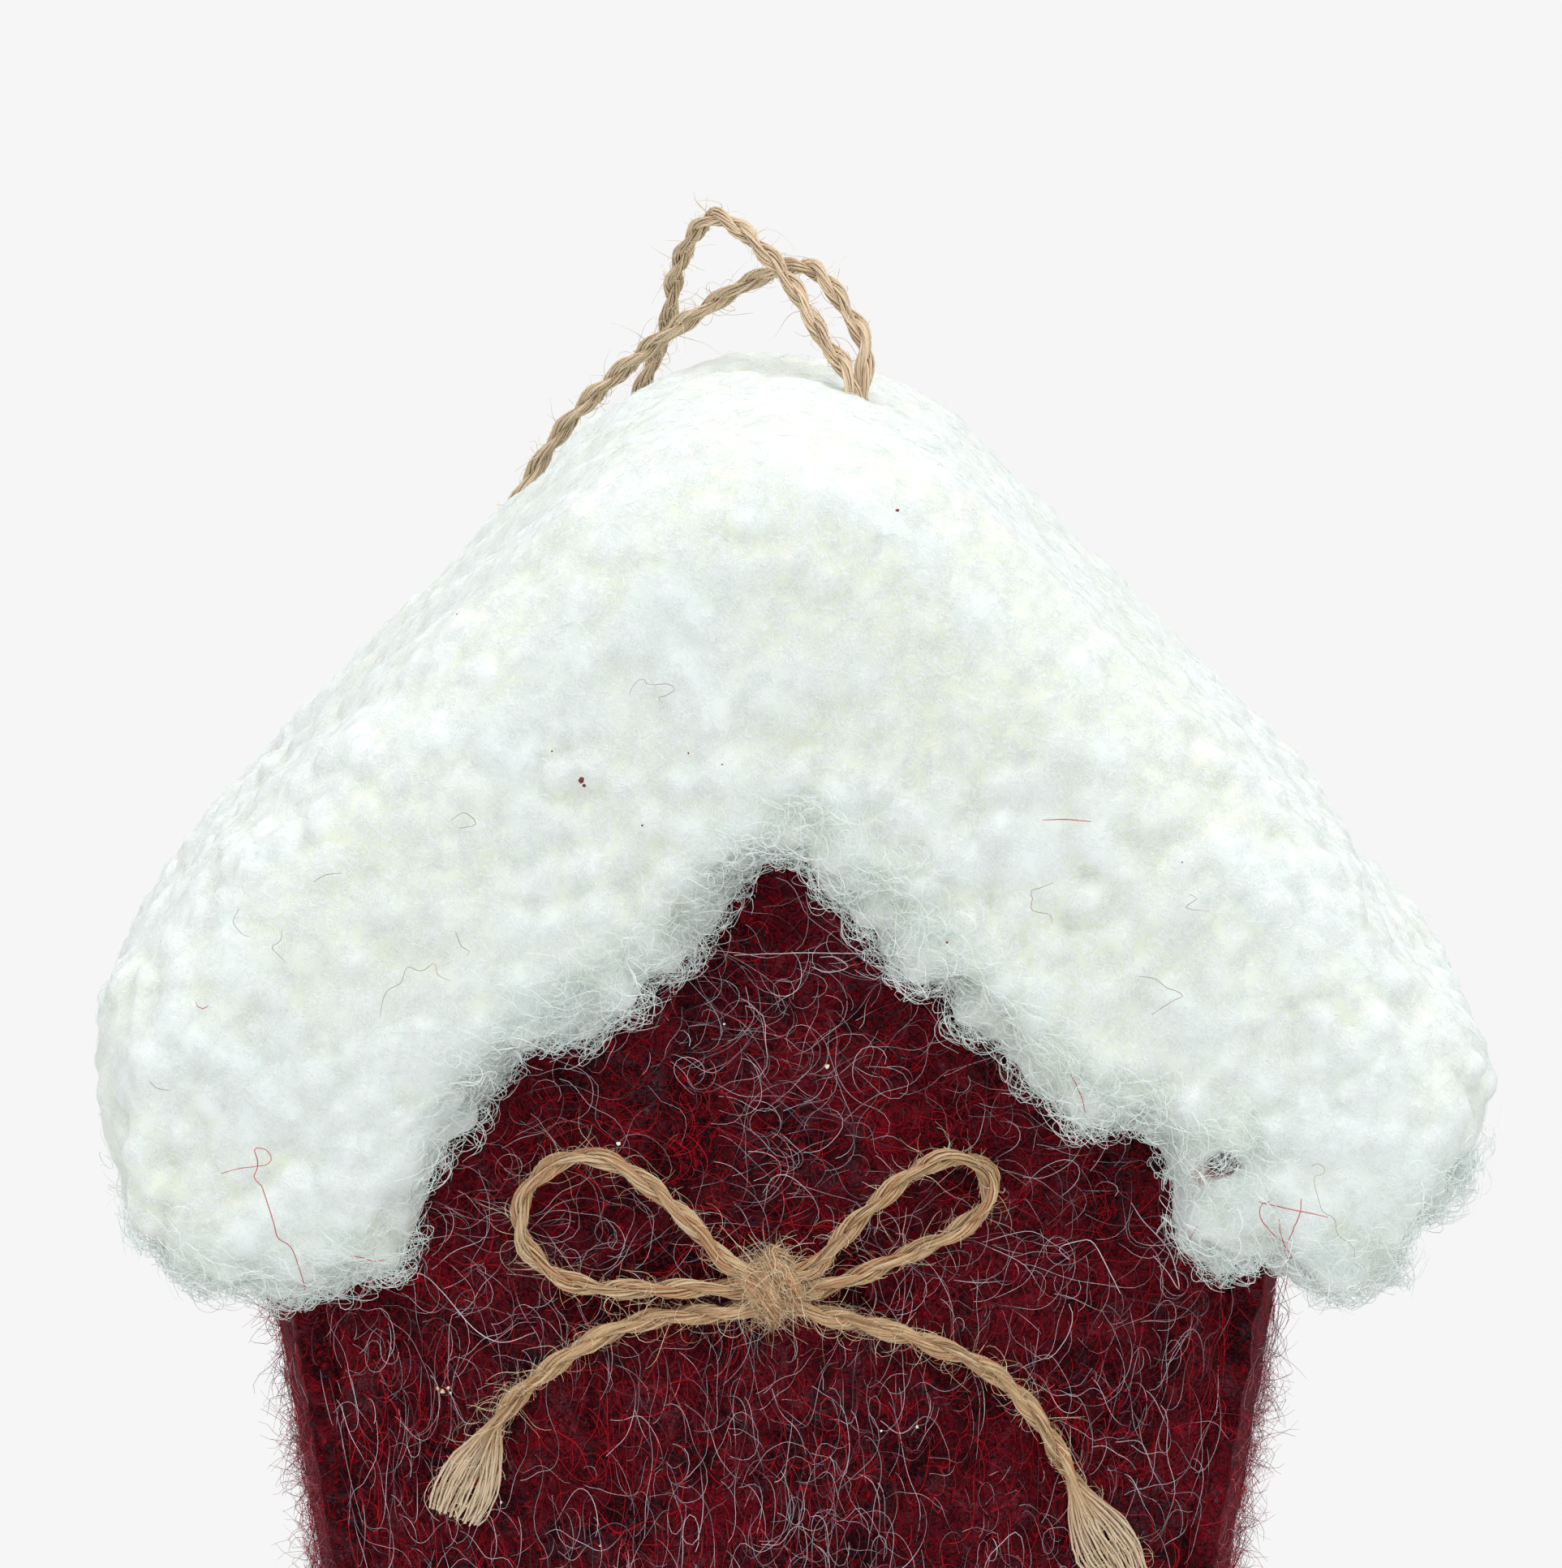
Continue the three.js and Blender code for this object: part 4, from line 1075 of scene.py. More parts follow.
flap_from = (-12 * mm, -20 * mm)


def pull(points, strokes):
    """How far each point moves under all the strokes, which share a point where they overlap."""
    move = np.zeros((len(points), 3))
    shares = np.zeros(len(points))
    for x, z, across, up in strokes:
        away = np.hypot(points[:, 0] - x * mm, points[:, 2] - z * mm) / stroke_reach
        share = np.clip(1 - away ** 2, 0, 1) ** 2
        move += share[:, None] * np.array([across, 0, up]) * mm
        shares += share
    return move / np.maximum(shares, 1)[:, None]


# %% [markdown]
# At the right eave the flap is folded, and a small slit between its two lobes shows the felt behind. The
# slit is cut before the net is made, because the net then rounds its edges as soft pile would.

# %% Cut the fold and make the fleece
fleece_voxel = 0.66 * mm
slit_outline = (
    (32.0, 71.3), (32.6, 72.4), (33.9, 73.2), (35.4, 72.6), (37.6, 72.3), (35.4, 71.5), (33.6, 70.9),
)
slit_depth = (-34.0, -19.6)


def prism(name, outline, near, far):
    """A straight block whose section is the outline in x and z, in millimetres."""
    count = len(outline)
    points = [(x * mm, y * mm, z * mm) for y in (near, far) for x, z in outline]
    faces = [tuple(range(count)), tuple(range(2 * count - 1, count - 1, -1))]
    faces += [(i, i + count, (i + 1) % count + count, (i + 1) % count) for i in range(count)]
    mesh = bpy.data.meshes.new(name)
    mesh.from_pydata(points, [], faces)
    tidy = bmesh.new()
    tidy.from_mesh(mesh)
    bmesh.ops.recalc_face_normals(tidy, faces=tidy.faces)
    tidy.to_mesh(mesh)
    tidy.free()
    return link(bpy.data.objects.new(name, mesh))


block = merged_copy("roof_fleece", "fleece_roof")
cutter = prism("fold_cutter", slit_outline, *slit_depth)
cut = block.modifiers.new("fold", "BOOLEAN")
cut.object = cutter
cut.operation = "DIFFERENCE"
roof = remeshed(block, "fleece_roof", fleece_voxel, smoothing=9)
bpy.data.objects.remove(cutter)
roof_points = coordinates(roof.data).astype(float)
flap_share = smoothstep(*flap_from, roof_points[:, 1])[:, None]
roof_points += pull(roof_points, side_strokes) + flap_share * pull(roof_points, flap_strokes)
move_to(roof.data, roof_points)
print("fleece:", len(roof.data.polygons), "faces")

# %% [markdown]
# ## The nubs of the pile
# The pile of this fleece is curled into soft nubs 3 to 4 mm across that crowd each other. A displacement
# texture repeats or runs in cells. Here nub centres are scattered over the net, each at least a set
# distance from the next, and every vertex rises by the height of the nubs round it. A soft maximum joins
# them, so that the creases stay soft too. How deep a vertex lies between nubs is kept for the painted shade
# of the hollows.

# %% Helpers for the nubs
nub_spacing = 2.6 * mm
nub_radius = (1.8 * mm, 3.0 * mm)
nub_height = (0.6 * mm, 1.35 * mm)
nub_sharpness = 3.0 / mm
nub_floor = -1.2 * mm
nub_warp = 0.6 * mm
nub_ruffle = 0.16 * mm
nubs_read = 7
random_nubs = np.random.default_rng(4)


def scattered(points, allowed, spacing, order):
    """Indices of points that keep at least the spacing from each other, picked in the given order."""
    cells = {}
    picked = []
    for i in order:
        if not allowed[i]:
            continue
        p = points[i]
        cell = tuple((p // spacing).astype(int))
        near = (
            q for dx in (-1, 0, 1) for dy in (-1, 0, 1) for dz in (-1, 0, 1)
            for q in cells.get((cell[0] + dx, cell[1] + dy, cell[2] + dz), ())
        )
        if all(np.linalg.norm(points[q] - p) >= spacing for q in near):
            cells.setdefault(cell, []).append(i)
            picked.append(i)
    return picked


def nub_field(points, centres, radii, heights):
    """How high the nubs stand over each point, joined by a soft maximum."""
    tree = KDTree(len(centres))
    for i, centre in enumerate(centres.tolist()):
        tree.insert(centre, i)
    tree.balance()
    near = np.array([[(i, d) for _, i, d in tree.find_n(p, nubs_read)] for p in points.tolist()])
    index = near[:, :, 0].astype(int)
    dome = heights[index] * (1 - (near[:, :, 1] / radii[index]) ** 2)
    dome = np.maximum(dome, nub_floor)
    return np.log(np.exp(nub_sharpness * dome).sum(axis=1)) / nub_sharpness


# %% Raise the nubs
roof_normals = normals(roof.data)
roof_open = open_air(roof.data, body_solids)
nub_order = random_nubs.permutation(len(roof_points))
centres_at = scattered(roof_points, roof_open > 0.5, nub_spacing, nub_order)
radii = random_nubs.uniform(*nub_radius, len(centres_at))
heights = random_nubs.uniform(*nub_height, len(centres_at))
warp = [fbm(roof_points, 2.8 * mm, octaves=2, seed=seed) for seed in (51, 52, 53)]
warp = np.stack(warp, 1) * nub_warp
nub_rise = nub_field(roof_points + warp, roof_points[centres_at], radii, heights)
middle_rise = float(np.mean(nub_rise[roof_open > 0.5]))
ruffle = fbm(roof_points, 1.3 * mm, octaves=3, seed=9)
rise = (nub_rise - middle_rise + ruffle * nub_ruffle) * roof_open

# %% [markdown]
# The lower edge of the flaps is scalloped: whole tufts stand out or fall back there. The crest is worn
# flatter than the front, and round the slit the pile lies calm, so that the slit stays open.

# %% Shape the rim, the crest and the slit
slit_x = 34.2 * mm
slit_z = 72.0 * mm
slit_stretch = 1.6
crest_heights = (98 * mm, 116 * mm)
scallop_size = 6.4 * mm
scallop_rise = 2.6 * mm

front_y = roof_points[:, 1]
faces_down = smoothstep(0.3, 0.68, -roof_normals[:, 2])
flap_rim = roof_open * faces_down * smoothstep(-6 * mm, -14 * mm, front_y)
tufts = fbm(roof_points * np.array([1, 0.4, 1]), scallop_size, octaves=3, seed=71)
scallop = np.clip(tufts, -0.4, 0.7)
slit_away = np.hypot((roof_points[:, 0] - slit_x) / slit_stretch, roof_points[:, 2] - slit_z)
calm = smoothstep(1.0 * mm, 2.4 * mm, slit_away)
calm *= 1 - 0.5 * smoothstep(*crest_heights, roof_points[:, 2])
rise = rise * (1 + 0.3 * flap_rim) + scallop * scallop_rise * flap_rim
slit_inside = smoothstep(1.7 * mm, 1.2 * mm, slit_away)
slit_inside *= smoothstep(-27.6 * mm, -26.4 * mm, front_y) * smoothstep(-17 * mm, -18.5 * mm, front_y)
move_to(roof.data, roof_points + roof_normals * (rise * calm)[:, None])
store(roof.data, "slit", slit_inside)
# How deep each vertex lies between nubs, which steers the painted shade of the hollows.
store(roof.data, "hollow", np.clip(0.5 - (nub_rise - middle_rise) / abs(nub_floor), 0, 1))
store(roof.data, "cover", roof_open)
dress(roof, fleece_pile, ["roof_fleece"])
print("fleece:", len(centres_at), "nubs")

# %% [markdown]
# ## The pile
# The nubs alone would look like plaster. Short arcs of fibre lie all over the fleece, and longer curls
# hang out of the rim of the flaps, where the pile ends over the dark felt and each hair shows.

# %% Grow the pile
pile_hair = {
    "Length": 2.4 * mm, "Length spread": 0.5, "Thickness": 0.06 * mm, "Curl": 0.9, "Swing": 4.0,
    "Swing size": 1.0 * mm, "Lift": 0.25 * mm, "Spin": 0.0, "Lean least": 0.0, "Lean most": 0.0,
    "Anchor": 0.35, "Points": 6,
}
rim_curl = {
    **pile_hair, "Length": 5.2 * mm, "Length spread": 0.6, "Thickness": 0.08 * mm, "Curl": 1.4,
    "Swing": 5.0, "Lift": 1.6 * mm, "Anchor": 0.22, "Points": 9,
}
pile_density = 17.5
curl_density = 118.0

rim_tree = KDTree(len(roof_points))
for i in np.flatnonzero((flap_rim > 0.5) & (front_y < -20 * mm)).tolist():
    rim_tree.insert(roof_points[i], i)
rim_tree.balance()
rim_away = np.array([rim_tree.find(p)[2] for p in roof_points.tolist()])
near_rim = smoothstep(4.6 * mm, 0.6 * mm, rim_away)
near_slit = smoothstep(3.4 * mm, 1.6 * mm, slit_away)
curl_cover = np.maximum(near_rim, near_slit)
curl_cover *= roof_open * smoothstep(-19 * mm, -22 * mm, front_y)
pile_cover = roof_open * (0.3 + 0.7 * smoothstep(0.4, -0.1, normals(roof.data)[:, 1]))
for name, count, sizes, density, seed, cover in (
    ("fleece_pile", 2, pile_hair, pile_density, 101, pile_cover),
    ("fleece_rim_curls", 3, rim_curl, curl_density, 111, curl_cover),
):
    for part in range(count):
        grow(roof, f"{name}_{part + 1}", sizes, density, fleece_hair, seed + part, cover)

# %% [markdown]
# ## The twine pieces
# Each stretch of twine is a free cord of its own: the hanging loop, the bow's two loops and its two
# tails. The tails end cut and frayed, so their bundles fan out over the last few millimetres. A smooth
# tube with a twine picture on it would look right only from afar.

# %% Lay the twine
twine_sizes = {
    "Step": 0.7 * mm, "Plies": 2, "Strands": 18, "Ply offset": 0.37 * mm, "Ply radius": 0.42 * mm,
    "Strand radius": 0.098 * mm, "Pitch": 8.5 * mm, "Strand pitch": 11.0 * mm, "Phase": 0.0,
    "Drift": 0.32 * mm, "Fan length": 0.0, "Fan": 0.0, "Material": jute,
}
fray_sizes = {
    "Fan length": 8.0 * mm, "Fan": 2.3, "Strands": 28, "Strand radius": 0.115 * mm, "Phase": 0.25,
}


def line_mesh(name, route):
    mesh = bpy.data.meshes.new(name)
    mesh.from_pydata([tuple(p) for p in route], [(i, i + 1) for i in range(len(route) - 1)], [])
    return mesh


def lay_twine(name, route, seed, replaced, sizes=()):
    sizes = {**twine_sizes, **dict(sizes), "Seed": seed}
    return carried(run_tree(twine, line_mesh(name, route), name, sizes), replaced)


stray_fibre = {
    "Length": 4.8 * mm, "Length spread": 0.7, "Thickness": 0.055 * mm, "Curl": 0.6, "Swing": 5.0,
    "Swing size": 1.6 * mm, "Lift": 0.1 * mm, "Spin": 1.0, "Lean least": 0.0, "Lean most": 0.5,
    "Anchor": 0.15, "Points": 9,
}
twine_fuzz = {
    **stray_fibre, "Length": 2.0 * mm, "Thickness": 0.06 * mm, "Curl": 0.25, "Lean most": 0.4,
    "Anchor": 0.4, "Points": 5,
}


def twine_hairs(source, densities, seed):
    """Long stray fibres and a short fuzz all along a piece of twine, so many per cm2 of each."""
    strays, fuzz = densities
    every = np.ones(len(source.data.vertices))
    return [
        grow(source, source.name + "_strays", stray_fibre, strays, jute_hair, seed, every),
        grow(source, source.name + "_fuzz", twine_fuzz, fuzz, jute_hair, seed + 50, every),
    ]


# Painted light: the whole hanging loop is made paler for the stronger light it gets up at the ridge.
loop_painted_light = 0.5
end_paleness = 0.6
loop_strays = (9.0, 24.0)
bow_strays = (14.0, 40.0)
hanging_loop = lay_twine("jute_hanging_loop", hanging_loop_route, 1, ["hanging_loop"])
loop_hairs = twine_hairs(hanging_loop, loop_strays, 201)
store(hanging_loop.data, "pale", np.full(len(hanging_loop.data.vertices), loop_painted_light))

# Route, length in metres and far end of each part of the bow.
bow_parts = {
    "loop_left": (bow_loop_left_route, 0.0455, "object"),
    "loop_right": (bow_loop_right_route, 0.038, "object"),
    "tail_left": (bow_tail_left_route, 0.033, "bare"),
    "tail_right": (bow_tail_right_route, 0.040, "bare"),
}
for seed, (part, (route, length, far_end)) in enumerate(bow_parts.items(), 2):
    frayed = far_end == "bare"
    replaced = ["bow_" + part] + (["bow_fray_" + part.split("_")[1]] if frayed else [])
    piece = lay_twine("jute_bow_" + part, route, seed, replaced, fray_sizes if frayed else {})
    loose = twine_hairs(piece, bow_strays, 210 + seed)
    end_away = np.linalg.norm(coordinates(piece.data) - np.array(route[-1]), axis=1)
    store(piece.data, "pale", frayed * end_paleness * smoothstep(9 * mm, 4 * mm, end_away))

# %% [markdown]
# ## The knots
# The bow's knot is a rounded core under a few wraps of the same twine, hidden under stray fibres. A true
# knot could be routed by hand, but at 6 mm across only its lumps and its hairs are seen. The stop knot that
# holds the hanging loop under the fleece is wound the same way.

# %% Tie the knots
def wraps(centre, radius_across, radius_up, advance, turns, tilt, parts=28):
    """A route that winds round a knot: an oval that moves on along the knot as it turns."""
    count = round(turns * parts)
    turned = Euler((0, tilt, 0))
    route = []
    for k in range(count + 1):
        angle = math.tau * (k / parts - 0.5)
        along = advance * (k / count - 0.5)
        at = Vector((along, -radius_across * math.cos(angle), radius_up * math.sin(angle)))
        at.rotate(turned)
        route.append(centre + at)
    return route


knot_centre = on_front(bow_x, bow_z, 1.8)
knot_turn = math.radians(-38)
knot_strays = (70.0, 170.0)
core_shrink = 1.0 * mm
knot_core = merged_copy("bow_knot", "jute_bow_knot")
knot_core = remeshed(knot_core, "jute_bow_knot", voxel=0.25 * mm, smoothing=4)
core_points = coordinates(knot_core.data)
core_lumps = fbm(core_points, 0.9 * mm, octaves=2, seed=21) * 0.2 * mm
move_to(knot_core.data, core_points + normals(knot_core.data) * (core_lumps - core_shrink)[:, None])
store(knot_core.data, "tone", np.full(len(core_points), 0.4))
store(knot_core.data, "run", core_points[:, 2])
dress(knot_core, jute, ["bow_knot"])
knot_route = wraps(knot_centre, 1.1 * mm, 2.0 * mm, advance=3.3 * mm, turns=3, tilt=knot_turn)
knot_wraps = lay_twine("jute_bow_knot_wraps", knot_route, 8, [])
twine_hairs(knot_wraps, knot_strays, 231)
print("bow's knot:", len(knot_core.data.polygons), "faces in the core")

stop_centre = sum((Vector(corner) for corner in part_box("loop_anchor_knot")), Vector()) / 2
stop_route = wraps(stop_centre, 1.2 * mm, 1.2 * mm, advance=1.8 * mm, turns=3, tilt=0.0)
lay_twine("jute_stop_knot", stop_route, 9, ["loop_anchor_knot"])

# %% [markdown]
# ## Stray threads and specks
# A few red and brown hairs have come off the felt and lie on the fleece, a few pale ones cross the felt,
# and there are some dark and some glittering specks. Each is placed by its spot in the photograph: a ray
# from the camera through that spot finds the place on the fleece or the felt that carries it.

# %% Find the place under a spot of the photograph
def surface_tree(pieces):
    points = []
    faces = []
    for piece in pieces:
        first = len(points)
        points += coordinates(piece.data).tolist()
        faces += [[first + i for i in face.vertices] for face in piece.data.polygons]
    return BVHTree.FromPolygons(points, faces)


photo_height = 1932
carrier_nodes = ("front_panel", "side_panel_right", "side_panel_left")
carriers = surface_tree([roof, *(panels[node] for node in carrier_nodes)])
view_turn = camera.rotation_euler.to_matrix()
print("threads and specks can lie on", roof.name, *carrier_nodes)


def seen_at(right, down, lift):
    """The point of the house under one spot of the photograph, lifted towards the air."""
    reach = pixels_per_mm * view_distance / mm
    across = (right - photo_width / 2) / reach
    up = (photo_height / 2 - down) / reach
    ray = view_turn @ Vector((across, up, -1))
    place, normal, _, _ = carriers.ray_cast(camera.location, ray.normalized())
    return None if place is None else place - ray.normalized() * lift + normal * lift * 0.3


# %% Helpers for the threads
def thread_tree():
    sizes = {"Step": "Float", "Thickness": "Float", "Material": "Material"}
    tree, entry = new_tree("draw a thread", sizes)
    route = add(tree, "GeometryNodeMeshToCurve", {"Mesh": entry["Geometry"]})
    route = add(tree, "GeometryNodeResampleCurve",
                {"Curve": route.outputs[0], "Length": entry["Step"]}, mode="LENGTH")
    ring = add(tree, "GeometryNodeCurvePrimitiveCircle", {"Resolution": 4, "Radius": 0.5})
    along = field(tree, "GeometryNodeSplineParameter")
    slim = (along * math.pi).sine() * 0.4 + 0.6
    tubes = add(tree, "GeometryNodeCurveToMesh", {
        "Curve": route.outputs[0], "Profile Curve": ring.outputs[0],
        "Scale": slim * entry["Thickness"], "Fill Caps": True,
    })
    return close_tree(tree, tubes.outputs[0], entry["Material"])


def plain_thread(name, tint):
    """A thread of one colour that grows a little paler and darker along its way."""
    material, tree, shader = new_material(name, roughness=0.6, gloss=0.2)
    spots = noise_field(tree, object_place(tree), 900.0)
    darker = tuple(0.7 * part for part in tint[:3]) + (1.0,)
    base = blend_colours(tree, ramp(tree, spots, 0.35, 0.65), darker, tint)
    plug(tree, shader.inputs["Base Color"], base)
    return material


# %% Draw the threads
# Each sort has its material, its thickness and its lift in millimetres, and its threads. Each thread is a
# line of spots, as pixels to the right and down from the photograph's upper left corner.
thread = thread_tree()
thread_sorts = {
    "red": (plain_thread("red_thread", colour(204, 96, 100)), 0.085, 0.7, (
        ((272, 1445), (297, 1439), (316, 1436), (330, 1433), (334, 1425), (327, 1415), (313, 1414),
         (314, 1420), (317, 1430), (316, 1440), (312, 1450), (319, 1457), (330, 1483), (338, 1507),
         (342, 1524), (358, 1535), (368, 1560), (375, 1583), (377, 1603)),
        ((432, 1546), (443, 1547), (460, 1552), (475, 1552)),
        ((437, 1612), (447, 1592), (463, 1577), (483, 1571), (497, 1570)),
        ((241, 1235), (247, 1244), (258, 1240)), ((574, 1332), (590, 1350), (600, 1350)),
        ((1550, 1480), (1590, 1489), (1636, 1499)),
        ((1567, 1478), (1553, 1485), (1552, 1500), (1563, 1513), (1577, 1525), (1587, 1530)),
        ((1603, 1477), (1602, 1493), (1595, 1513), (1588, 1530)),
        ((1577, 1502), (1578, 1513), (1585, 1533), (1595, 1547), (1588, 1547), (1583, 1533)),
        ((1477, 1510), (1460, 1540), (1451, 1563)), ((1320, 1322), (1330, 1345), (1338, 1370)),
        ((1285, 1010), (1315, 1009), (1345, 1012)),
    )),
    "brown": (plain_thread("brown_thread", colour(178, 160, 146)), 0.055, 0.7, (
        ((295, 1119), (288, 1137), (300, 1152), (310, 1154)),
        ((349, 1147), (345, 1161), (336, 1167), (352, 1185)),
        ((468, 1252), (475, 1222), (495, 1210), (502, 1191), (520, 1196), (536, 1186), (539, 1200),
         (556, 1208)),
        ((561, 1147), (570, 1167), (579, 1170), (575, 1177)),
        ((776, 855), (780, 846), (792, 835), (797, 842), (805, 843), (825, 842), (832, 848), (822, 856),
         (811, 860), (818, 865)),
        ((555, 1010), (572, 1000), (587, 1015), (565, 1020)),
        ((1298, 1087), (1285, 1092), (1270, 1098), (1272, 1105), (1270, 1120), (1295, 1127),
         (1295, 1139)),
        ((1465, 1102), (1475, 1107), (1460, 1117), (1490, 1122)),
        ((1402, 1202), (1422, 1205), (1437, 1217), (1450, 1222), (1457, 1227), (1447, 1231),
         (1420, 1250)),
        ((1617, 1435), (1623, 1432), (1633, 1438), (1628, 1447), (1620, 1449), (1623, 1473), (1630, 1493),
         (1643, 1500), (1648, 1520), (1667, 1537), (1668, 1555), (1676, 1562)),
        ((184, 1330), (196, 1341), (210, 1342)), ((387, 1086), (400, 1078), (420, 1076)),
    )),
    "white": (plain_thread("white_thread", colour(226, 220, 222)), 0.08, 1.3, (
        ((1317, 1550), (1304, 1537), (1333, 1527), (1343, 1527), (1367, 1567), (1380, 1592)),
        ((1393, 1480), (1407, 1502), (1440, 1540), (1452, 1588), (1438, 1566), (1420, 1545)),
        ((905, 1176), (1000, 1173), (1130, 1176)),
        ((497, 1568), (520, 1568), (545, 1590), (560, 1608), (590, 1640), (620, 1652), (660, 1640)),
        ((1010, 1178), (1030, 1178), (1045, 1190), (1020, 1196), (1000, 1190)),
    )),
}


def draw_threads(sort, material, thickness, lift, spots):
    """All the threads of one sort as one piece, each through a smooth line of its spots."""
    points = []
    edges = []
    for line in spots:
        smooth = smooth_route([Vector((right, down, 0)) for right, down in line], parts=5)
        places = [seen_at(spot.x, spot.y, lift * mm) for spot in smooth]
        places = [tuple(place) for place in places if place is not None]
        edges += [(i, i + 1) for i in range(len(points), len(points) + len(places) - 1)]
        points += places
    mesh = bpy.data.meshes.new(sort)
    mesh.from_pydata(points, edges, [])
    return run_tree(thread, mesh, f"stray_{sort}_threads",
                    {"Step": 0.35 * mm, "Thickness": thickness * mm, "Material": material})


for sort, (material, thickness, lift, spots) in thread_sorts.items():
    slot = "fleece" if sort == "white" else "felt"
    carried(draw_threads(sort, material, thickness, lift, spots))

# %% Scatter the specks
def glitter_material():
    material, tree, shader = new_material("bright_grain", roughness=0.2, gloss=0.5)
    spots = noise_field(tree, object_place(tree), 1200.0, detail=1.0)
    tint = blend_colours(tree, ramp(tree, spots, 0.4, 0.6), colour(232, 196, 150), colour(255, 252, 246))
    plug(tree, shader.inputs["Base Color"], tint)
    return material


# Each speck is a spot of the photograph and the speck's size in millimetres.
speck_lift = 0.8 * mm
speck_sorts = {
    "dark_specks": (plain_thread("dark_grain", colour(120, 52, 54)), "felt", (
        (716, 959, 0.55), (1105, 630, 0.28), (720, 965, 0.3), (680, 925, 0.16), (890, 942, 0.14),
        (848, 927, 0.16), (792, 1016, 0.18), (1168, 1160, 0.2), (1456, 1062, 0.16), (565, 760, 0.12),
    )),
    "bright_specks": (glitter_material(), "felt", (
        (540, 1710, 0.35), (546, 1713, 0.42), (553, 1709, 0.3), (556, 1715, 0.22), (717, 1265, 0.28),
        (893, 1261, 0.2), (1019, 1313, 0.4), (762, 1408, 0.35), (1130, 1757, 0.3), (1086, 1762, 0.2),
        (740, 1903, 0.2), (618, 1850, 0.22),
    )),
}


def speck_piece(name, material, spots, seed):
    """Small crumpled grains, each a ball of twenty faces with its corners pushed about."""
    shape = bmesh.new()
    luck = np.random.default_rng(seed)
    for right, down, size in spots:
        grain = bmesh.ops.create_icosphere(shape, subdivisions=1, radius=size * mm / 2)["verts"]
        place = seen_at(right, down, speck_lift)
        for vertex in grain:
            vertex.co = place + vertex.co * float(luck.uniform(0.6, 1.3))
    mesh = bpy.data.meshes.new(name)
    shape.to_mesh(mesh)
    shape.free()
    mesh.materials.append(material)
    return link(bpy.data.objects.new(name, mesh))


for seed, (name, (material, slot, spots)) in enumerate(speck_sorts.items(), 5):
    carried(speck_piece(name, material, spots, seed))
    print(name + ":", len(spots), "grains")

# %% [markdown]
# ## The filling, the boards and the glue
# The filling shows nowhere, but it is what makes the house plump: a lumpy pad a little inside the felt.
# The boards and the spot of glue keep their CAD shape and only get their material.

# %% Fill the house
stuffing = merged_copy("stuffing", "fibre_stuffing")
stuffing = remeshed(stuffing, "fibre_stuffing", voxel=2.2 * mm, smoothing=4)
stuffing_points = coordinates(stuffing.data)
stuffing_lumps = (fbm(stuffing_points, 11 * mm, octaves=3, seed=31) - 0.7) * 0.8 * mm
move_to(stuffing.data, stuffing_points + normals(stuffing.data) * stuffing_lumps[:, None])
dress(stuffing, filling, ["stuffing"])
print("filling:", len(stuffing.data.polygons), "faces")


def finish_node(node, material):
    for material_slot in nodes[node].material_slots:
        material_slot.link = "OBJECT"
        material_slot.material = material


finish_node("roof_board_left", board)
finish_node("roof_board_right", board)
finish_node("bow_glue_spot", glue)

# %% [markdown]
# ## Floor, backdrop and light
# The house is lit as in a small photo studio: a pale surround gives most of the light, and a broad soft
# lamp above the camera shapes the pile. The floor is white paper. To the camera it is the plain pale
# grey of the photograph, except close to the house, where it keeps the soft shadow.

# %% Set the studio
backdrop = colour(246, 246, 246)
paper_size = 8.0
shadow_reach = (0.06, 0.125)


def backdrop_share(tree):
    """1 for rays that should see the plain backdrop."""
    path = add(tree, "ShaderNodeLightPath")
    seen = Field(tree, path.outputs["Is Camera Ray"])
    for kind in ("Is Glossy Ray", "Is Transmission Ray"):
        seen = seen.run("MAXIMUM", path.outputs[kind])
    return seen


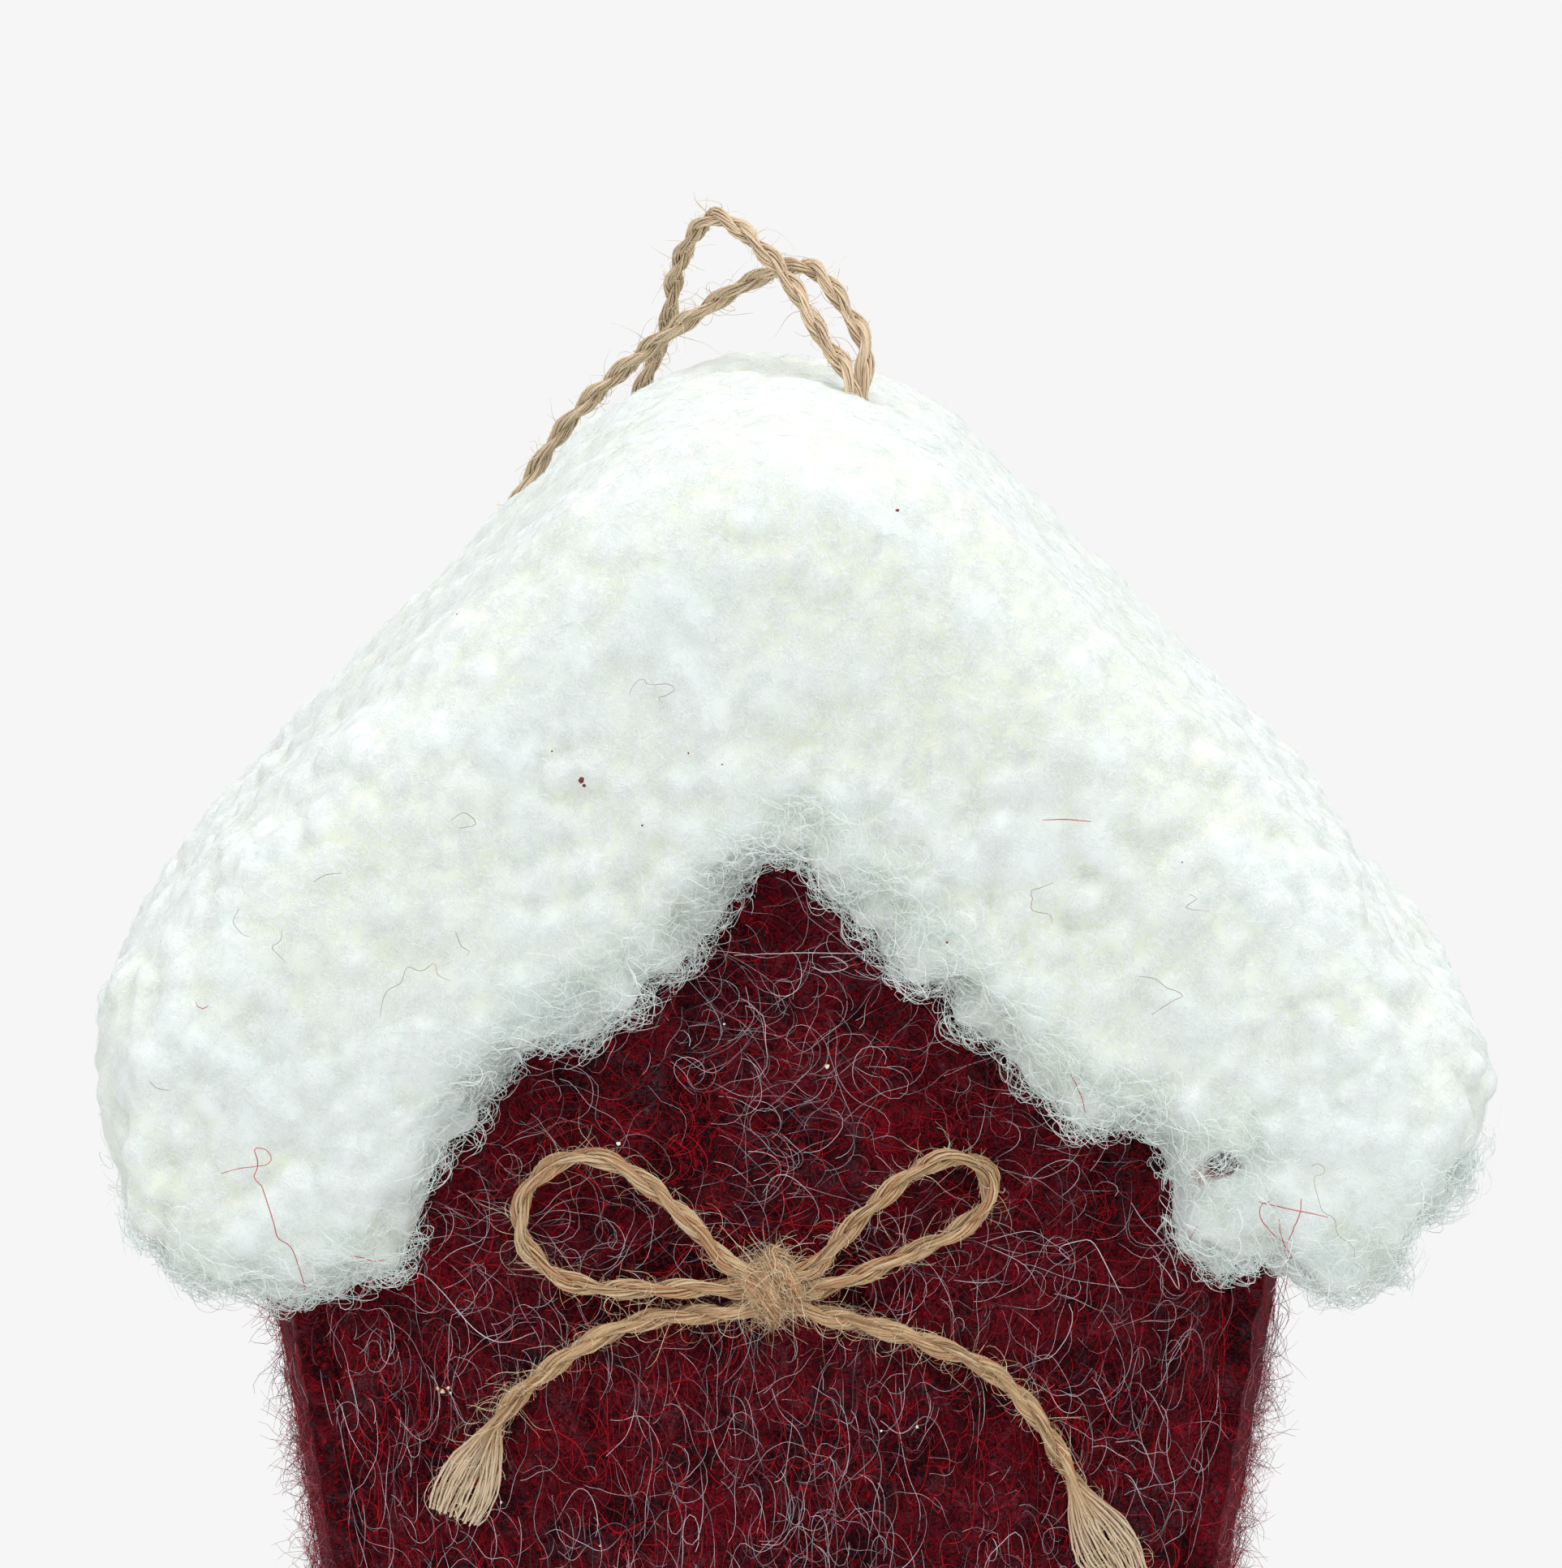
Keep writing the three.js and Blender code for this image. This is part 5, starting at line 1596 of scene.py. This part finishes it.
def paper_material():
    material, tree, shader = new_material("white_paper", roughness=0.9)
    shader.inputs["Base Color"].default_value = colour(236, 236, 236)
    far = field(tree, "ShaderNodeVectorMath", output=1, inputs={0: object_place(tree)},
                operation="LENGTH")
    share = backdrop_share(tree) * ramp(tree, far, *shadow_reach)
    plain = add(tree, "ShaderNodeEmission", {"Color": backdrop, "Strength": 1.0})
    mix = add(tree, "ShaderNodeMixShader", {0: share, 1: shader.outputs[0], 2: plain.outputs[0]})
    tree.links.new(mix.outputs[0], tree.nodes["Material Output"].inputs["Surface"])
    return material


half = paper_size / 2
paper_corners = [(-half, -half, 0), (half, -half, 0), (half, half, 0), (-half, half, 0)]
paper = bpy.data.meshes.new("paper_floor")
paper.from_pydata(paper_corners, [], [(0, 1, 2, 3)])
paper.materials.append(paper_material())
floor = link(bpy.data.objects.new("paper_floor", paper))
floor.location.z = min(0.0, cad_box[0][2]) - 0.2 * mm
print("floor:", paper_size, "m wide,", round(floor.location.z / mm, 2), "mm up")

# %% Light the studio
sky_strength = (0.39, 0.93)
house_middle = Vector((0, 0, 70)) * mm

world = bpy.data.worlds.new("studio")
scene.world = world
world.use_nodes = True
sky = world.node_tree
surround = sky.nodes["Background"]
surround.inputs["Color"].default_value = (1.0, 1.0, 1.0, 1.0)
upward = split(sky, add(sky, "ShaderNodeTexCoord").outputs["Generated"])[2]
sky_gain = sky_strength[1] - sky_strength[0]
brightness = ramp(sky, upward, -0.1, 1.0) * sky_gain + sky_strength[0]
plug(sky, surround.inputs["Strength"], brightness)
plain_sky = add(sky, "ShaderNodeBackground", {"Color": backdrop, "Strength": 1.0})
sky_layers = {0: backdrop_share(sky), 1: surround.outputs[0], 2: plain_sky.outputs[0]}
sky_mix = add(sky, "ShaderNodeMixShader", sky_layers)
sky.links.new(sky_mix.outputs[0], sky.nodes["World Output"].inputs["Surface"])


def soft_lamp(name, place, size, power):
    """A square lamp that faces the middle of the house."""
    lamp = bpy.data.lights.new(name, "AREA")
    lamp.size = size
    lamp.energy = power
    holder = link(bpy.data.objects.new(name, lamp))
    holder.location = place
    holder.rotation_euler = (house_middle - Vector(place)).to_track_quat("-Z", "Y").to_euler()
    print(name, "at", place, "with", power, "W")


soft_lamp("top_lamp", (0.12, -0.38, 0.95), size=0.8, power=5.65)
soft_lamp("side_lamp", (-0.95, -0.75, 0.45), size=0.7, power=0.8)
scene.view_settings.view_transform = "Standard"
